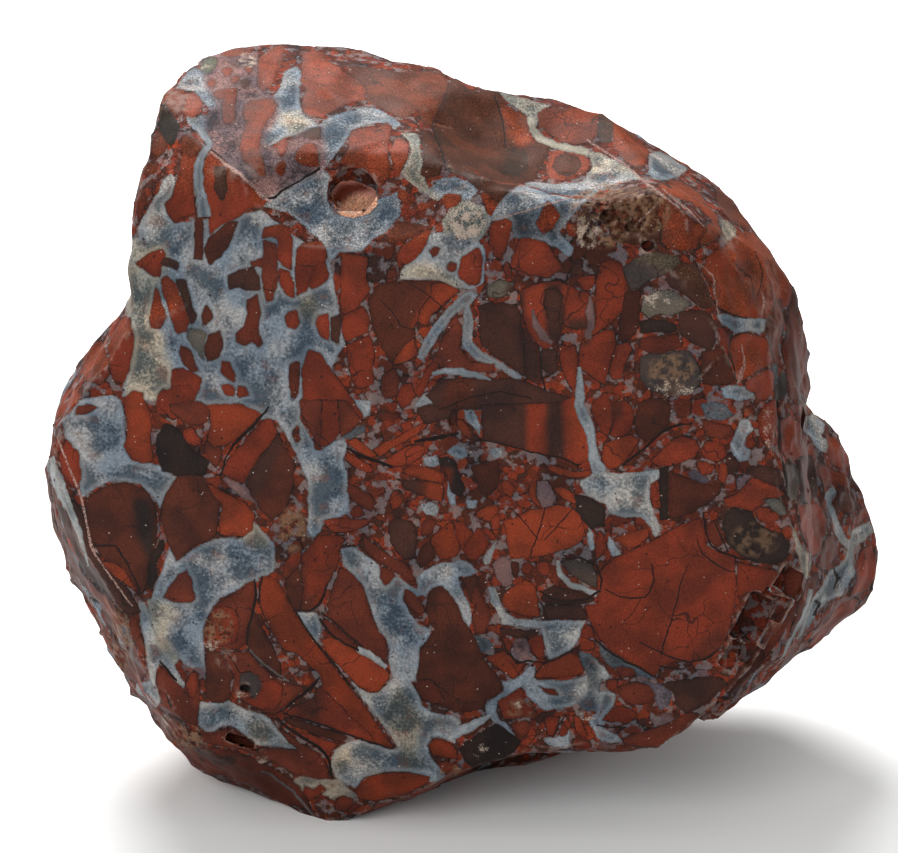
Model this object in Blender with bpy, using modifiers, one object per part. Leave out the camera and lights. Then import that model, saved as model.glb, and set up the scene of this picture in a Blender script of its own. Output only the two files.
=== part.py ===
"""A hand specimen of brecciated jasper: one broken stone, standing on a small flat spot.

The stone is described as it is seen, in millimetres: across to the right, up the picture, and deep,
away from the eye. The eye looks down on it by EYE_TILT, so the whole is then turned upright by that
angle. The frame that comes out has +Z up and the broken face towards -Y. The origin lies under the
middle of the stone, at the level that it rests on.
"""

import math

import bmesh
import bpy
from mathutils import Matrix, Vector, noise

MM = 0.001
EYE_TILT = math.radians(20)
REST_DROP = 46.7
EYE_DISTANCE = 443.0

# The broken face is one plane, upright on the table and turned a little to the left.
FACE_DEPTH = -36.0
FACE_UP = 25.3
FACE_TURN = -0.06

# How coarsely the solid is meshed.
GRAIN_OF_MESH = 1.1
FACET_COUNT = 8200

JASPER_COLOUR = (0.17, 0.035, 0.018, 1.0)
JASPER_ROUGHNESS = 0.42


def on_face(across, up, proud=0.0):
    """A corner on the plane of the broken face, or proud of it towards the eye."""
    fall = (FACE_UP - up) * math.tan(EYE_TILT)
    return (across, up, FACE_DEPTH + fall + FACE_TURN * across - proud)


def on_ground(across, back, below=1.0):
    """A corner a little under the resting level, back mm behind the origin."""
    high = -REST_DROP - below
    return (across, high * math.cos(EYE_TILT) + back * math.sin(EYE_TILT),
            back * math.cos(EYE_TILT) - high * math.sin(EYE_TILT))


def upright(point):
    """From across, up and deep in millimetres to the standing stone's own metres."""
    across, up, deep = point
    back = deep * math.cos(EYE_TILT) + up * math.sin(EYE_TILT)
    high = up * math.cos(EYE_TILT) - deep * math.sin(EYE_TILT) + REST_DROP
    return Vector((across, back, high)) * MM


# The three convex lumps that the stone is made up of, each by the corners of its facets.
CROWN_RIM = [(-37, 43, -20), (-35, 46, -15), (-33, 48.3, -11), (-28, 50.3, -6), (-22, 50.8, -4),
             (-16, 50.5, -3), (-8, 49, -3), (-1.8, 47.2, -5)]
SHOULDER_RIM = [(14, 42.2, -8), (18.5, 41.6, -8), (23.3, 37.8, -8), (30, 33.6, -8),
                (35.2, 29.6, -10), (37.5, 26.8, -12), (40.2, 23.2, -13), (42.8, 19.7, -13),
                (44, 14.4, -10), (45.3, 10.6, -8), (46, 5, -6)]
LEFT_RIM = [(-38, 41.6, -21), (-39, 35.2, -25), (-40.2, 29.4, -27), (-39.4, 23, -27.5),
            (-41, 18.2, -26)]
RIDGE = [(-34.2, 37.8, -26.5), (-30.3, 34.3, -30.5), (-26.3, 30.8, -33.5), (-23.4, 28.2, -34.2),
         (-17, 32, -31.5), (-7.5, 30, -32.4), (-2.3, 24.2, -35.4), (0.4, 23.5, -35.6),
         (3.6, 25.5, -35.8), (11.4, 28.3, -35), (16.8, 30.6, -33.5), (22, 31.2, -31),
         (27.8, 27.1, -31.5)]
FACE = [on_face(-28, 19), on_face(-19, 24), on_face(-7, 22), on_face(6.6, 16.7),
        on_face(19, 19), on_face(25.7, 19.5), on_face(31, 12), on_face(35.5, 4),
        on_face(39, -3), on_face(41.5, -14), on_face(41, -24), on_face(34, -33),
        on_face(25.6, -40.6), on_face(10, -41.4), on_face(-1.3, -45.2), on_face(-7, -42.5),
        on_face(-15, -41), on_face(-23, -37.5), on_face(-32, -26), on_face(-39, -14),
        on_face(-38, 8)]
RIGHT_RIDGE = [(31, 24.2, -29), (37.5, 14, -25), (38.5, 4, -26), (43, -6, -20), (44.5, -18, -16)]
FOOT_RIM = [(-5.2, -46.8, -5), (-10.4, -48.9, -4), (-17, -51.2, -2), (-20.3, -50.2, -1),
            (-25, -48.6, 1), (-29.2, -46.7, 4)]
FOOTPRINT = [on_ground(-17, -20), on_ground(-25, -10), on_ground(-24, 12), on_ground(-8, 24),
             on_ground(12, 22), on_ground(17, 6), on_ground(0, -8)]
CROWN_BACK = [(-30, 42, 6), (-20, 43, 15), (-2, 41, 20), (16, 36, 20), (30, 28, 16), (40, 14, 10)]
BODY_BACK = [(-36, 22, 14), (-18, 20, 31), (6, 20, 35), (26, 14, 29), (42, -2, 16), (-38, -8, 20),
             (-16, -14, 36), (10, -12, 40), (30, -16, 32), (-26, -28, 28), (14, -24, 38)]
BODY_CORNERS = (CROWN_RIM + SHOULDER_RIM + LEFT_RIM + RIDGE + FACE + RIGHT_RIDGE + FOOT_RIM
                + FOOTPRINT + CROWN_BACK + BODY_BACK)

LEFT_RIM_LOW = [(-41.5, 18, -20), (-45.3, 13, -15), (-49.4, 9.2, -12), (-51.6, 5, -9),
                (-52.6, 0, -6), (-55.2, -5.8, 5), (-54.2, -11.4, 8), (-53.6, -17, 9),
                (-50.3, -22.2, 10), (-47.1, -27.2, 10), (-46, -32.8, 9), (-42.4, -37.4, 8),
                (-39.2, -42.2, 5), (-35, -45.6, 5), (-29.2, -46.7, 4), (-25, -48.6, 1)]
LEFT_FACE = [on_face(-30, 18), on_face(-41, 12), on_face(-48, 4), on_face(-51.5, -3),
             on_face(-49, -12), on_face(-43, -21), on_face(-38.6, -33), on_face(-33, -41),
             on_face(-20, -40), on_face(-20, 0)]
LEFT_BACK = [(-41, 19, -6), (-39, 18, 6), (-44, 8, 12), (-44, -6, 22), (-40, -20, 26),
             (-30, -8, 34), (-34, -32, 24), (-20, 10, 20), on_ground(-26, 8), on_ground(-24, -12)]

RIGHT_RIM_LOW = [(46, 4.6, 0), (50, 1, 5), (53, -3.7, 8), (53.8, -7.8, 9), (55.9, -11.6, 10),
                 (56.8, -18, 12), (55.2, -22.4, 11), (51, -26.2, 10), (46.6, -29.4, 8),
                 (43, -31.5, 6), (38, -35, 2), (32, -38.3, -2)]
RIGHT_FACE = [(43, -4, -12), (44.5, -14, -12), (44, -22, -11), (40, -29, -11), (33, -36, -11),
              (20, -20, 0), (30, 4, 6)]
RIGHT_BACK = [(44, 6, 10), (46, 0, 22), (48, -10, 27), (40, -18, 32), (34, -28, 28), (16, -10, 32),
              (20, -30, 30)]

# Hollows that flakes left when they sprang off: a spot on the surface, the way that it faced, the
# radius of the ball that fits the hollow, and how deep the ball bites.
FLAKE_SCARS = {
    "shoulder": ((10.2, 35.6, -21.5), (0.14, 0.87, -0.5), 40, 2.3),
    "below_crown": ((-13, 26.5, -33.4), (0, 0.4, -0.9), 34, 1.3),
    "notch": ((5.2, 45.2, -6), (0.1, 1, 0), 15, 1.3),
    "left_neck": ((-45, 16, -14), (-0.8, 0.6, 0), 14, 1.0),
    "right_neck": ((47, 3, 0), (0.8, 0.55, 0), 9, 0.8),
    "foot": ((-17, -45, -8), (-0.2, -0.5, -0.8), 18, 0.8),
    "back_high": ((6, 30, 28), (0.1, 0.5, 0.85), 34, 2.6),
    "back_low": ((-22, -14, 38), (-0.4, -0.1, 0.9), 40, 3.0),
    "back_side": ((38, 2, 22), (0.6, 0.2, 0.75), 26, 1.8),
}

# The stone is undercut along this line of the picture plane, between these two depths.
UNDERCUT = [(-16, -51.6), (-5.3, -47.4), (9.2, -41.9), (21, -41.6), (26.6, -41.8), (31, -47),
            (34, -60), (-16, -60)]
UNDERCUT_DEPTHS = (-30, 12)

# The open hollow under the crown: a pocket that never filled, seen at this spot, and its radii.
POCKET_SEEN = (-14.1, 31.9)
POCKET_RADII = (3.1, 3.0, 3.6)
# The stepped hole where small square blocks fell out, low on the right: each block's spot as it is
# seen, its sides across, up and deep, and how it is turned in the picture.
BLOCK_HOLES = [
    ((38.5, -24.6), (3.4, 6.2, 3.2), -27),
    ((43.5, -19.8), (3.4, 3.4, 2.6), -27),
    ((41.2, -22.8), (3.6, 3.2, 2.2), -30),
    ((35.8, -29.2), (1.8, 3.8, 1.4), -30),
    ((38.4, -29.4), (2.8, 2.4, 2.2), -24),
]
SLOT_SEEN = (-29.0, -40.7)
SLOT_SIDES = (3.6, 0.9, 3.0)
SLOT_TURN = -18
# Round pits: the spot as it is seen, and the radius.
PITS = [((-28.3, -33.7), 0.8), ((17.0, 25.6), 0.9), ((19.4, 28.4), 1.1), ((22.6, 27.0), 0.9),
        ((18.2, 30.8), 0.8), ((24.6, 24.6), 0.8)]


def clear_scene():
    for obj in list(bpy.data.objects):
        bpy.data.objects.remove(obj)


def solid(name, mesh):
    obj = bpy.data.objects.new(name, mesh)
    bpy.context.scene.collection.objects.link(obj)
    return obj


def lump(name, corners):
    """The convex lump that spans the corners."""
    bm = bmesh.new()
    for corner in corners:
        bm.verts.new(upright(corner))
    hull = bmesh.ops.convex_hull(bm, input=bm.verts)
    inside = {g for g in hull["geom_interior"] + hull["geom_unused"]
              if isinstance(g, bmesh.types.BMVert)}
    bmesh.ops.delete(bm, geom=list(inside), context="VERTS")
    mesh = bpy.data.meshes.new(name)
    bm.to_mesh(mesh)
    bm.free()
    return solid(name, mesh)


def combine(body, others, operation):
    """Boolean the others onto the body or out of it, and leave one plain mesh."""
    for other in others:
        step = body.modifiers.new(operation.lower(), "BOOLEAN")
        step.operation = operation
        step.object = other
    bake(body)
    for other in others:
        bpy.data.objects.remove(other)


def bake(body):
    """Replace the mesh by what its modifiers make of it."""
    graph = bpy.context.evaluated_depsgraph_get()
    body.data = bpy.data.meshes.new_from_object(body.evaluated_get(graph))
    body.modifiers.clear()


def along_sight(outline, depths):
    """The corners of a wedge whose sides run along the lines of sight."""
    corners = []
    for deep in depths:
        spread = 1 + deep / EYE_DISTANCE
        corners += [(across * spread, up * spread, deep) for across, up in outline]
    return corners


def flake_ball(name, spot, facing, radius, bite):
    """The ball that fits one flake scar."""
    outward = (upright(facing) - upright((0, 0, 0))).normalized()
    centre = upright(spot) + outward * (radius - bite) * MM
    bpy.ops.mesh.primitive_uv_sphere_add(segments=48, ring_count=24, radius=radius * MM, location=centre)
    ball = bpy.context.object
    ball.name = name
    return ball


def remesh(body, size):
    """One even skin over the whole stone, with cells this many millimetres across."""
    skin = body.modifiers.new("skin", "REMESH")
    skin.mode = "VOXEL"
    skin.voxel_size = size * MM
    bake(body)


def roughness_at(point, normal):
    """How far the surface stands out at a point, in millimetres: swells, ledges and grit."""
    smooth = max(0.0, -normal.y) ** 2 + 0.6 * max(0.0, normal.z) ** 2
    rough = 1.0 - 0.72 * min(1.0, smooth)
    swell = noise.noise(point / 13)
    ledge = noise.ridged_multi_fractal(point / 7, 1.0, 2.1, 4, 1.0, 2.0) - 1.0
    grit = noise.fractal(point / 2.4, 0.9, 2.0, 3)
    level = min(1.0, max(0.0, point.z / 4))
    return level * (0.9 * swell * (0.4 + 0.6 * rough) + (0.55 * ledge + 0.32 * grit) * rough)


def weather(body):
    """Push every point in or out along its normal, so that no facet stays flat."""
    normals = [vertex.normal.copy() for vertex in body.data.vertices]
    for vertex, normal in zip(body.data.vertices, normals):
        vertex.co += normal * roughness_at(vertex.co / MM, normal) * MM


def thin_out(body, faces):
    """Collapse edges where the surface is nearly flat, down to this many triangles."""
    body.data.calc_loop_triangles()
    thin = body.modifiers.new("thin", "DECIMATE")
    thin.ratio = faces / len(body.data.loop_triangles)
    thin.use_collapse_triangulate = True
    bake(body)


def level_the_foot(body):
    """Grind the stone off flat at the level that it rests on."""
    bm = bmesh.new()
    bm.from_mesh(body.data)
    everything = bm.verts[:] + bm.edges[:] + bm.faces[:]
    cut = bmesh.ops.bisect_plane(bm, geom=everything, dist=1e-6, plane_co=(0, 0, 0),
                                 plane_no=(0, 0, -1), clear_outer=True)
    rim = [e for e in cut["geom_cut"] if isinstance(e, bmesh.types.BMEdge)]
    bmesh.ops.triangle_fill(bm, edges=rim, use_beauty=True)
    bmesh.ops.recalc_face_normals(bm, faces=bm.faces)
    bm.to_mesh(body.data)
    bm.free()


def seen_at(body, across, up):
    """The point of the stone that the eye sees at this spot of the picture plane."""
    eye = upright((0, 0, -EYE_DISTANCE))
    ray = (upright((across, up, 0)) - eye).normalized()
    hit, point, normal, face = body.ray_cast(eye, ray)
    return point


def in_picture(point, turn):
    """A place at the point, with its axes across, up and towards the eye, turned in the picture."""
    lean = Matrix.Rotation(math.radians(90) - EYE_TILT, 4, "X")
    return Matrix.Translation(point) @ lean @ Matrix.Rotation(math.radians(turn), 4, "Z")


def block_cutter(body, name, seen, sides, turn):
    bpy.ops.mesh.primitive_cube_add(size=1)
    block = bpy.context.object
    block.name = name
    shape = Matrix.Diagonal((sides[0] * MM, sides[1] * MM, 2 * sides[2] * MM, 1))
    block.data.transform(in_picture(seen_at(body, *seen), turn) @ shape)
    return block


def pit_cutter(body, name, seen, radii):
    bpy.ops.mesh.primitive_ico_sphere_add(subdivisions=2, radius=1)
    pit = bpy.context.object
    pit.name = name
    for vertex in pit.data.vertices:
        vertex.co *= 1.0 + 0.14 * noise.noise(vertex.co * 1.7 + Vector(radii))
    shape = Matrix.Diagonal((radii[0] * MM, radii[1] * MM, radii[2] * MM, 1))
    pit.data.transform(in_picture(seen_at(body, *seen), 0) @ shape)
    return pit


def colour_stone(body):
    """The stone's own colour: dark red jasper, dull on the breaks."""
    material = bpy.data.materials.new("brecciated_jasper")
    material.use_nodes = True
    shader = material.node_tree.nodes["Principled BSDF"]
    shader.inputs["Base Color"].default_value = JASPER_COLOUR
    shader.inputs["Roughness"].default_value = JASPER_ROUGHNESS
    shader.inputs["Metallic"].default_value = 0.0
    body.data.materials.clear()
    body.data.materials.append(material)


def main():
    clear_scene()
    body = lump("brecciated_jasper", BODY_CORNERS)
    left = lump("left_lump", LEFT_RIM_LOW + LEFT_FACE + LEFT_BACK)
    right = lump("right_lump", RIGHT_RIM_LOW + RIGHT_FACE + RIGHT_BACK)
    combine(body, [left, right], "UNION")
    scars = [flake_ball(name, *scar) for name, scar in FLAKE_SCARS.items()]
    scars.append(lump("undercut", along_sight(UNDERCUT, UNDERCUT_DEPTHS)))
    combine(body, scars, "DIFFERENCE")
    remesh(body, GRAIN_OF_MESH)
    weather(body)
    thin_out(body, FACET_COUNT)
    level_the_foot(body)
    holes = [pit_cutter(body, "pocket", POCKET_SEEN, POCKET_RADII),
             block_cutter(body, "slot", SLOT_SEEN, SLOT_SIDES, SLOT_TURN)]
    for number, hole in enumerate(BLOCK_HOLES):
        holes.append(block_cutter(body, f"block_{number}", *hole))
    for number, (seen, radius) in enumerate(PITS):
        holes.append(pit_cutter(body, f"pit_{number}", seen, (radius, radius * 0.8, radius * 1.3)))
    combine(body, holes, "DIFFERENCE")
    colour_stone(body)
    stone = bpy.data.collections.new("brecciated_jasper_stone")
    bpy.context.scene.collection.children.link(stone)
    stone.objects.link(body)
    bpy.context.scene.collection.objects.unlink(body)


main()
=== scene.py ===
import math

import bpy
import numpy as np
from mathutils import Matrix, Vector, noise


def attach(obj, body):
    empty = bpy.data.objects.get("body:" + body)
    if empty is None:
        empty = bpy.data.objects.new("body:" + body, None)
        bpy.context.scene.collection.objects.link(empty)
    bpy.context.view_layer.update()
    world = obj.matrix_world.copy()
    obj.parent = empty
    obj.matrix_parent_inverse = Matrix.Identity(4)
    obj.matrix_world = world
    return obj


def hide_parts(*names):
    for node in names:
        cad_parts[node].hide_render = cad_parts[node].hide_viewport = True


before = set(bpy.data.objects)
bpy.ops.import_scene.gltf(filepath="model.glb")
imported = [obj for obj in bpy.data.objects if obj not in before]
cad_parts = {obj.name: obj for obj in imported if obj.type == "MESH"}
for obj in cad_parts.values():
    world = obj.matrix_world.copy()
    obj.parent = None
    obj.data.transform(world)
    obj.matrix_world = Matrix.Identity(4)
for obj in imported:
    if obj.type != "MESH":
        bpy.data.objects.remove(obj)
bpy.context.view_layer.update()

MM = 0.001

# The eye
# The picture was taken from a little above the stone, square on to its broad broken face, with a
# long lens. The picture is 898 x 853 pixels, and every outline below is given in them.
PICTURE_WIDTH = 898
PICTURE_HEIGHT = 853
EYE_TILT = math.radians(20)
EYE_DISTANCE = 0.443
LENS = 135.0
FILM_WIDTH = 36.0
AIM = Vector((-1.449 * MM, 0.248 * MM, 47.38 * MM))

sight = Vector((0, math.cos(EYE_TILT), -math.sin(EYE_TILT)))
picture_up = Vector((0, math.sin(EYE_TILT), math.cos(EYE_TILT)))
eye = AIM - sight * EYE_DISTANCE

camera_data = bpy.data.cameras.new("eye")
camera_data.lens = LENS
camera_data.sensor_width = FILM_WIDTH
camera_data.clip_start = 0.01
camera = bpy.data.objects.new("eye", camera_data)
camera.location = eye
camera.rotation_euler = (math.radians(90) - EYE_TILT, 0, 0)
bpy.context.scene.collection.objects.link(camera)
bpy.context.scene.camera = camera


def picture_place(points):
    """Where points of the object lie in the picture: pixels across, and pixels down."""
    away = points - np.array(eye)
    reach = LENS / FILM_WIDTH * PICTURE_WIDTH / (away @ np.array(sight))
    across = PICTURE_WIDTH / 2 + away[:, 0] * reach
    down = PICTURE_HEIGHT / 2 - (away @ np.array(picture_up)) * reach
    return across, down


# The studio
# A pale seamless floor that curves up behind, one broad soft light above and behind the stone, which
# puts a sheen on its upper facets, and a weak one in front. The room itself is white.
FLOOR_SIZE = 3.0
FLOOR_COLOUR = (0.86, 0.86, 0.85, 1)
BACK_HEIGHT = 2.0
CURVE_RADIUS = 0.6
ROOM_BRIGHTNESS = 0.62
LIT_SPOT = (0, 0, 0.05)
bpy.context.scene.view_settings.view_transform = "Standard"

bpy.ops.object.select_all(action="DESELECT")
bpy.ops.mesh.primitive_plane_add(size=FLOOR_SIZE, location=(0, 0.2, 0))
floor = bpy.context.object
floor.name = "studio_floor"
bpy.ops.object.mode_set(mode="EDIT")
bpy.ops.mesh.select_all(action="DESELECT")
bpy.ops.object.mode_set(mode="OBJECT")
for edge in floor.data.edges:
    edge.select = all(floor.data.vertices[v].co.y > 0 for v in edge.vertices)
bpy.ops.object.mode_set(mode="EDIT")
bpy.ops.mesh.select_mode(type="EDGE")
bpy.ops.mesh.extrude_region_move(TRANSFORM_OT_translate={"value": (0, 0, BACK_HEIGHT)})
bpy.ops.object.mode_set(mode="OBJECT")
bpy.ops.object.transform_apply(location=True, rotation=True, scale=True)
curve_up = floor.modifiers.new("curve_up", "BEVEL")
curve_up.width = CURVE_RADIUS
curve_up.segments = 12
bpy.ops.object.modifier_apply(modifier="curve_up")
bpy.ops.object.shade_smooth()
floor_finish = bpy.data.materials.new("studio_floor")
floor_finish.use_nodes = True
floor_surface = floor_finish.node_tree.nodes["Principled BSDF"]
floor_surface.inputs["Base Color"].default_value = FLOOR_COLOUR
floor_surface.inputs["Roughness"].default_value = 0.9
floor.data.materials.append(floor_finish)

room = bpy.data.worlds.new("room")
room.use_nodes = True
sky = room.node_tree.nodes["Background"]
sky.inputs["Color"].default_value = (1, 1, 1, 1)
sky.inputs["Strength"].default_value = ROOM_BRIGHTNESS
bpy.context.scene.world = room


def soft_light(name, place, size, watts):
    """A round soft light that shines at the middle of the stone."""
    lamp = bpy.data.lights.new(name, "AREA")
    lamp.shape = "DISK"
    lamp.size = size
    lamp.energy = watts
    holder = bpy.data.objects.new(name, lamp)
    holder.location = place
    holder.rotation_euler = (Vector(LIT_SPOT) - Vector(place)).to_track_quat("-Z", "Y").to_euler()
    bpy.context.scene.collection.objects.link(holder)


soft_light("above_behind", (-0.12, 0.30, 0.55), size=0.40, watts=7.0)
soft_light("front_fill", (-0.35, -0.60, 0.45), size=0.50, watts=2.5)

# The stone's skin
# One broken piece of jasper breccia. Its solid is copied and cut finer where the eye sees it, and the
# facets are eased a little, except along the sharp ridges that the breaks left.
FINE_EDGE = 0.62 * MM
MIDDLE_EDGE = 1.5 * FINE_EDGE
COARSE_EDGE = 1.9 * MM
SQUARE_ON = 0.5
GLANCING = 0.12
SPLITS = 6
SLIVER = 0.16 * MM
RIDGE_ANGLE = math.radians(34)
EASING_ROUNDS = 5

node = bpy.data.objects["brecciated_jasper"]
stone = node.copy()
stone.data = node.data.copy()
stone.name = "jasper_stone"
bpy.context.scene.collection.objects.link(stone)
bpy.ops.object.select_all(action="DESELECT")
stone.select_set(True)
bpy.context.view_layer.objects.active = stone
bpy.ops.object.mode_set(mode="EDIT")
bpy.ops.mesh.select_all(action="SELECT")
bpy.ops.mesh.remove_doubles(threshold=1e-6)
bpy.ops.object.mode_set(mode="OBJECT")


def vertex_array(mesh, name="co"):
    values = np.empty(len(mesh.vertices) * 3)
    mesh.vertices.foreach_get(name, values)
    return values.reshape(-1, 3)


def select_long_edges(mesh):
    """Select the edges that are too long for how squarely they face the eye."""
    ends = np.empty(len(mesh.edges) * 2, dtype=int)
    mesh.edges.foreach_get("vertices", ends)
    ends = ends.reshape(-1, 2)
    places = vertex_array(mesh)
    facing = -(vertex_array(mesh, "normal") @ np.array(sight))
    towards_eye = facing[ends].max(axis=1)
    limit = np.where(towards_eye > GLANCING, MIDDLE_EDGE, COARSE_EDGE)
    limit[towards_eye > SQUARE_ON] = FINE_EDGE
    length = np.linalg.norm(places[ends[:, 0]] - places[ends[:, 1]], axis=1)
    mesh.edges.foreach_set("select", length > limit)
    mesh.vertices.foreach_set("select", np.zeros(len(mesh.vertices), dtype=bool))
    mesh.polygons.foreach_set("select", np.zeros(len(mesh.polygons), dtype=bool))


bpy.context.tool_settings.mesh_select_mode = (False, True, False)
for _ in range(SPLITS):
    select_long_edges(stone.data)
    bpy.ops.object.mode_set(mode="EDIT")
    bpy.ops.mesh.subdivide(number_cuts=1)
    bpy.ops.mesh.select_all(action="SELECT")
    bpy.ops.mesh.quads_convert_to_tris(quad_method="SHORTEST_DIAGONAL", ngon_method="BEAUTY")
    bpy.ops.object.mode_set(mode="OBJECT")

bpy.ops.object.mode_set(mode="EDIT")
bpy.ops.mesh.select_all(action="SELECT")
bpy.ops.mesh.remove_doubles(threshold=SLIVER)
bpy.ops.mesh.select_all(action="DESELECT")
bpy.ops.mesh.edges_select_sharp(sharpness=RIDGE_ANGLE)
bpy.ops.mesh.select_mode(type="VERT")
bpy.ops.mesh.select_all(action="INVERT")
bpy.ops.mesh.vertices_smooth(factor=0.5, repeat=EASING_ROUNDS)
bpy.ops.object.mode_set(mode="OBJECT")
print("stone triangles", len(stone.data.polygons))

# The breccia
# Angular fragments of red and maroon jasper, broken where they lay and healed by blue-grey
# chalcedony. Each is outlined in picture pixels, region by region. A later one lies over an earlier.
JASPER = {
    "red": (0.122, 0.021, 0.010),
    "bright": (0.142, 0.025, 0.010),
    "brown": (0.080, 0.018, 0.010),
    "maroon": (0.053, 0.015, 0.009),
    "dark": (0.037, 0.015, 0.011),
    "grey": (0.048, 0.034, 0.029),
    "olive": (0.072, 0.064, 0.052),
    "black": (0.019, 0.012, 0.010),
    "mauve": (0.105, 0.062, 0.060),
    "pink": (0.600, 0.250, 0.180),
}
CHALCEDONY = {
    "blue": (0.120, 0.131, 0.141),
    "pale": (0.145, 0.150, 0.150),
    "cream": (0.170, 0.154, 0.124),
    "olive": (0.130, 0.118, 0.096),
    "mauve": (0.088, 0.054, 0.053),
    "pink": (0.080, 0.047, 0.045),
    "deep": (0.042, 0.048, 0.054),
    "violet": (0.045, 0.039, 0.048),
    "grey": (0.070, 0.062, 0.060),
    # pale pink for ridges: partly scuff, partly painted highlight
    "scuffed_and_highlit": (0.300, 0.185, 0.155),
}
LINE_TINTS = ["crack", "pale", "blue", "pink", "cream", "grey", "scuffed_and_highlit"]

# the fragments, from the crown down
CROWN_LEFT = [
    ("red", [(170, 80), (174, 73), (183, 68), (185, 71), (180, 79), (172, 84)]),
    ("brown", [(161, 96), (168, 91), (182, 90), (185, 98), (183, 106), (180, 112), (176, 116), (170, 110),
     (163, 101)]),
    ("red", [(185, 94), (192, 92), (199, 96), (203, 103), (201, 112), (194, 117), (187, 116), (182, 111),
     (185, 101)]),
    ("olive", [(201, 62), (209, 57), (218, 58), (216, 66), (208, 73), (202, 72)]),
    ("red", [(222, 69), (229, 66), (233, 70), (231, 76), (224, 76)]),
    ("red", [(208, 80), (213, 78), (216, 82), (213, 86), (208, 85)]),
    ("red", [(230, 78), (236, 74), (240, 77), (237, 82), (231, 82)]),
    ("maroon", [(241, 80), (248, 77), (251, 82), (246, 87), (241, 86)]),
    ("red", [(244, 68), (249, 65), (253, 69), (249, 73)]),
    ("red", [(221, 52), (228, 48), (243, 47), (252, 50), (250, 54), (236, 56), (222, 56)]),
    ("red", [(259, 57), (268, 50), (279, 44), (285, 43), (283, 58), (278, 70), (272, 84), (263, 91),
     (257, 83), (258, 68)]),
    ("red", [(213, 93), (219, 89), (236, 88), (237, 95), (235, 104), (235, 118), (229, 125), (223, 120),
     (222, 104), (225, 98), (215, 97)]),
    ("red", [(245, 103), (252, 100), (272, 97), (276, 103), (274, 112), (265, 123), (261, 133), (259, 147),
     (264, 162), (266, 175), (261, 176), (252, 166), (243, 160), (240, 149), (241, 136), (246, 123),
     (243, 110)]),
    ("brown", [(181, 134), (190, 133), (204, 146), (196, 152), (190, 158), (181, 154)]),
    ("red", [(195, 131), (201, 127), (204, 136), (203, 144), (197, 139)]),
    ("pink", [(333, 190), (341, 182), (352, 180), (364, 184), (376, 190), (378, 204), (368, 214),
     (352, 218), (340, 214), (333, 206)]),
    ("brown", [(345, 64), (360, 66), (400, 72), (430, 70), (445, 72), (448, 85), (443, 100), (437, 112),
     (432, 126), (424, 124), (418, 108), (410, 116), (400, 118), (385, 110), (367, 102), (366, 88),
     (352, 76)]),
    ("red", [(302, 52), (315, 50), (325, 52), (328, 60), (338, 65), (345, 72), (360, 80), (366, 88),
     (366, 100), (352, 101), (345, 104), (330, 112), (322, 117), (310, 116), (303, 110), (302, 100),
     (306, 88), (300, 80), (302, 68)]),
    ("red", [(348, 140), (352, 131), (364, 128), (378, 128), (386, 122), (392, 124), (390, 138), (387, 148),
     (390, 165), (388, 178), (380, 187), (372, 182), (366, 170), (358, 165), (345, 165), (338, 164),
     (346, 152), (350, 145)]),
    ("red", [(396, 137), (403, 137), (409, 145), (408, 157), (402, 166), (398, 180), (393, 165),
     (390, 150)]),
    ("red", [(276, 143), (284, 136), (288, 140), (286, 150), (282, 156), (277, 152)]),
    ("red", [(278, 162), (284, 158), (287, 166), (284, 174), (279, 177), (276, 170)]),
    ("red", [(299, 147), (307, 142), (316, 143), (318, 155), (320, 166), (309, 166), (298, 163),
     (294, 158)]),
    ("maroon", [(305, 132), (313, 127), (321, 126), (321, 138), (312, 138), (304, 137)]),
    ("red", [(181, 152), (195, 158), (196, 175), (193, 190), (194, 205), (196, 213), (180, 218), (175, 224),
     (168, 216), (164, 204), (172, 196), (176, 180), (180, 165)]),
    ("red", [(204, 160), (212, 150), (222, 158), (235, 170), (248, 184), (262, 197), (268, 201), (262, 207),
     (250, 208), (236, 218), (222, 224), (209, 236), (207, 215), (203, 190)]),
    ("dark", [(215, 165), (226, 168), (228, 190), (222, 203), (214, 190)]),
    ("brown", [(152, 140), (160, 130), (167, 135), (166, 150), (158, 157), (150, 152)]),
    ("brown", [(142, 165), (150, 161), (158, 166), (156, 173), (146, 175), (141, 172)]),
    ("black", [(158, 104), (164, 102), (174, 116), (180, 124), (176, 140), (170, 146), (163, 138),
     (156, 122)]),
    ("brown", [(134, 198), (146, 200), (143, 212), (137, 223)]),
]
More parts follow.
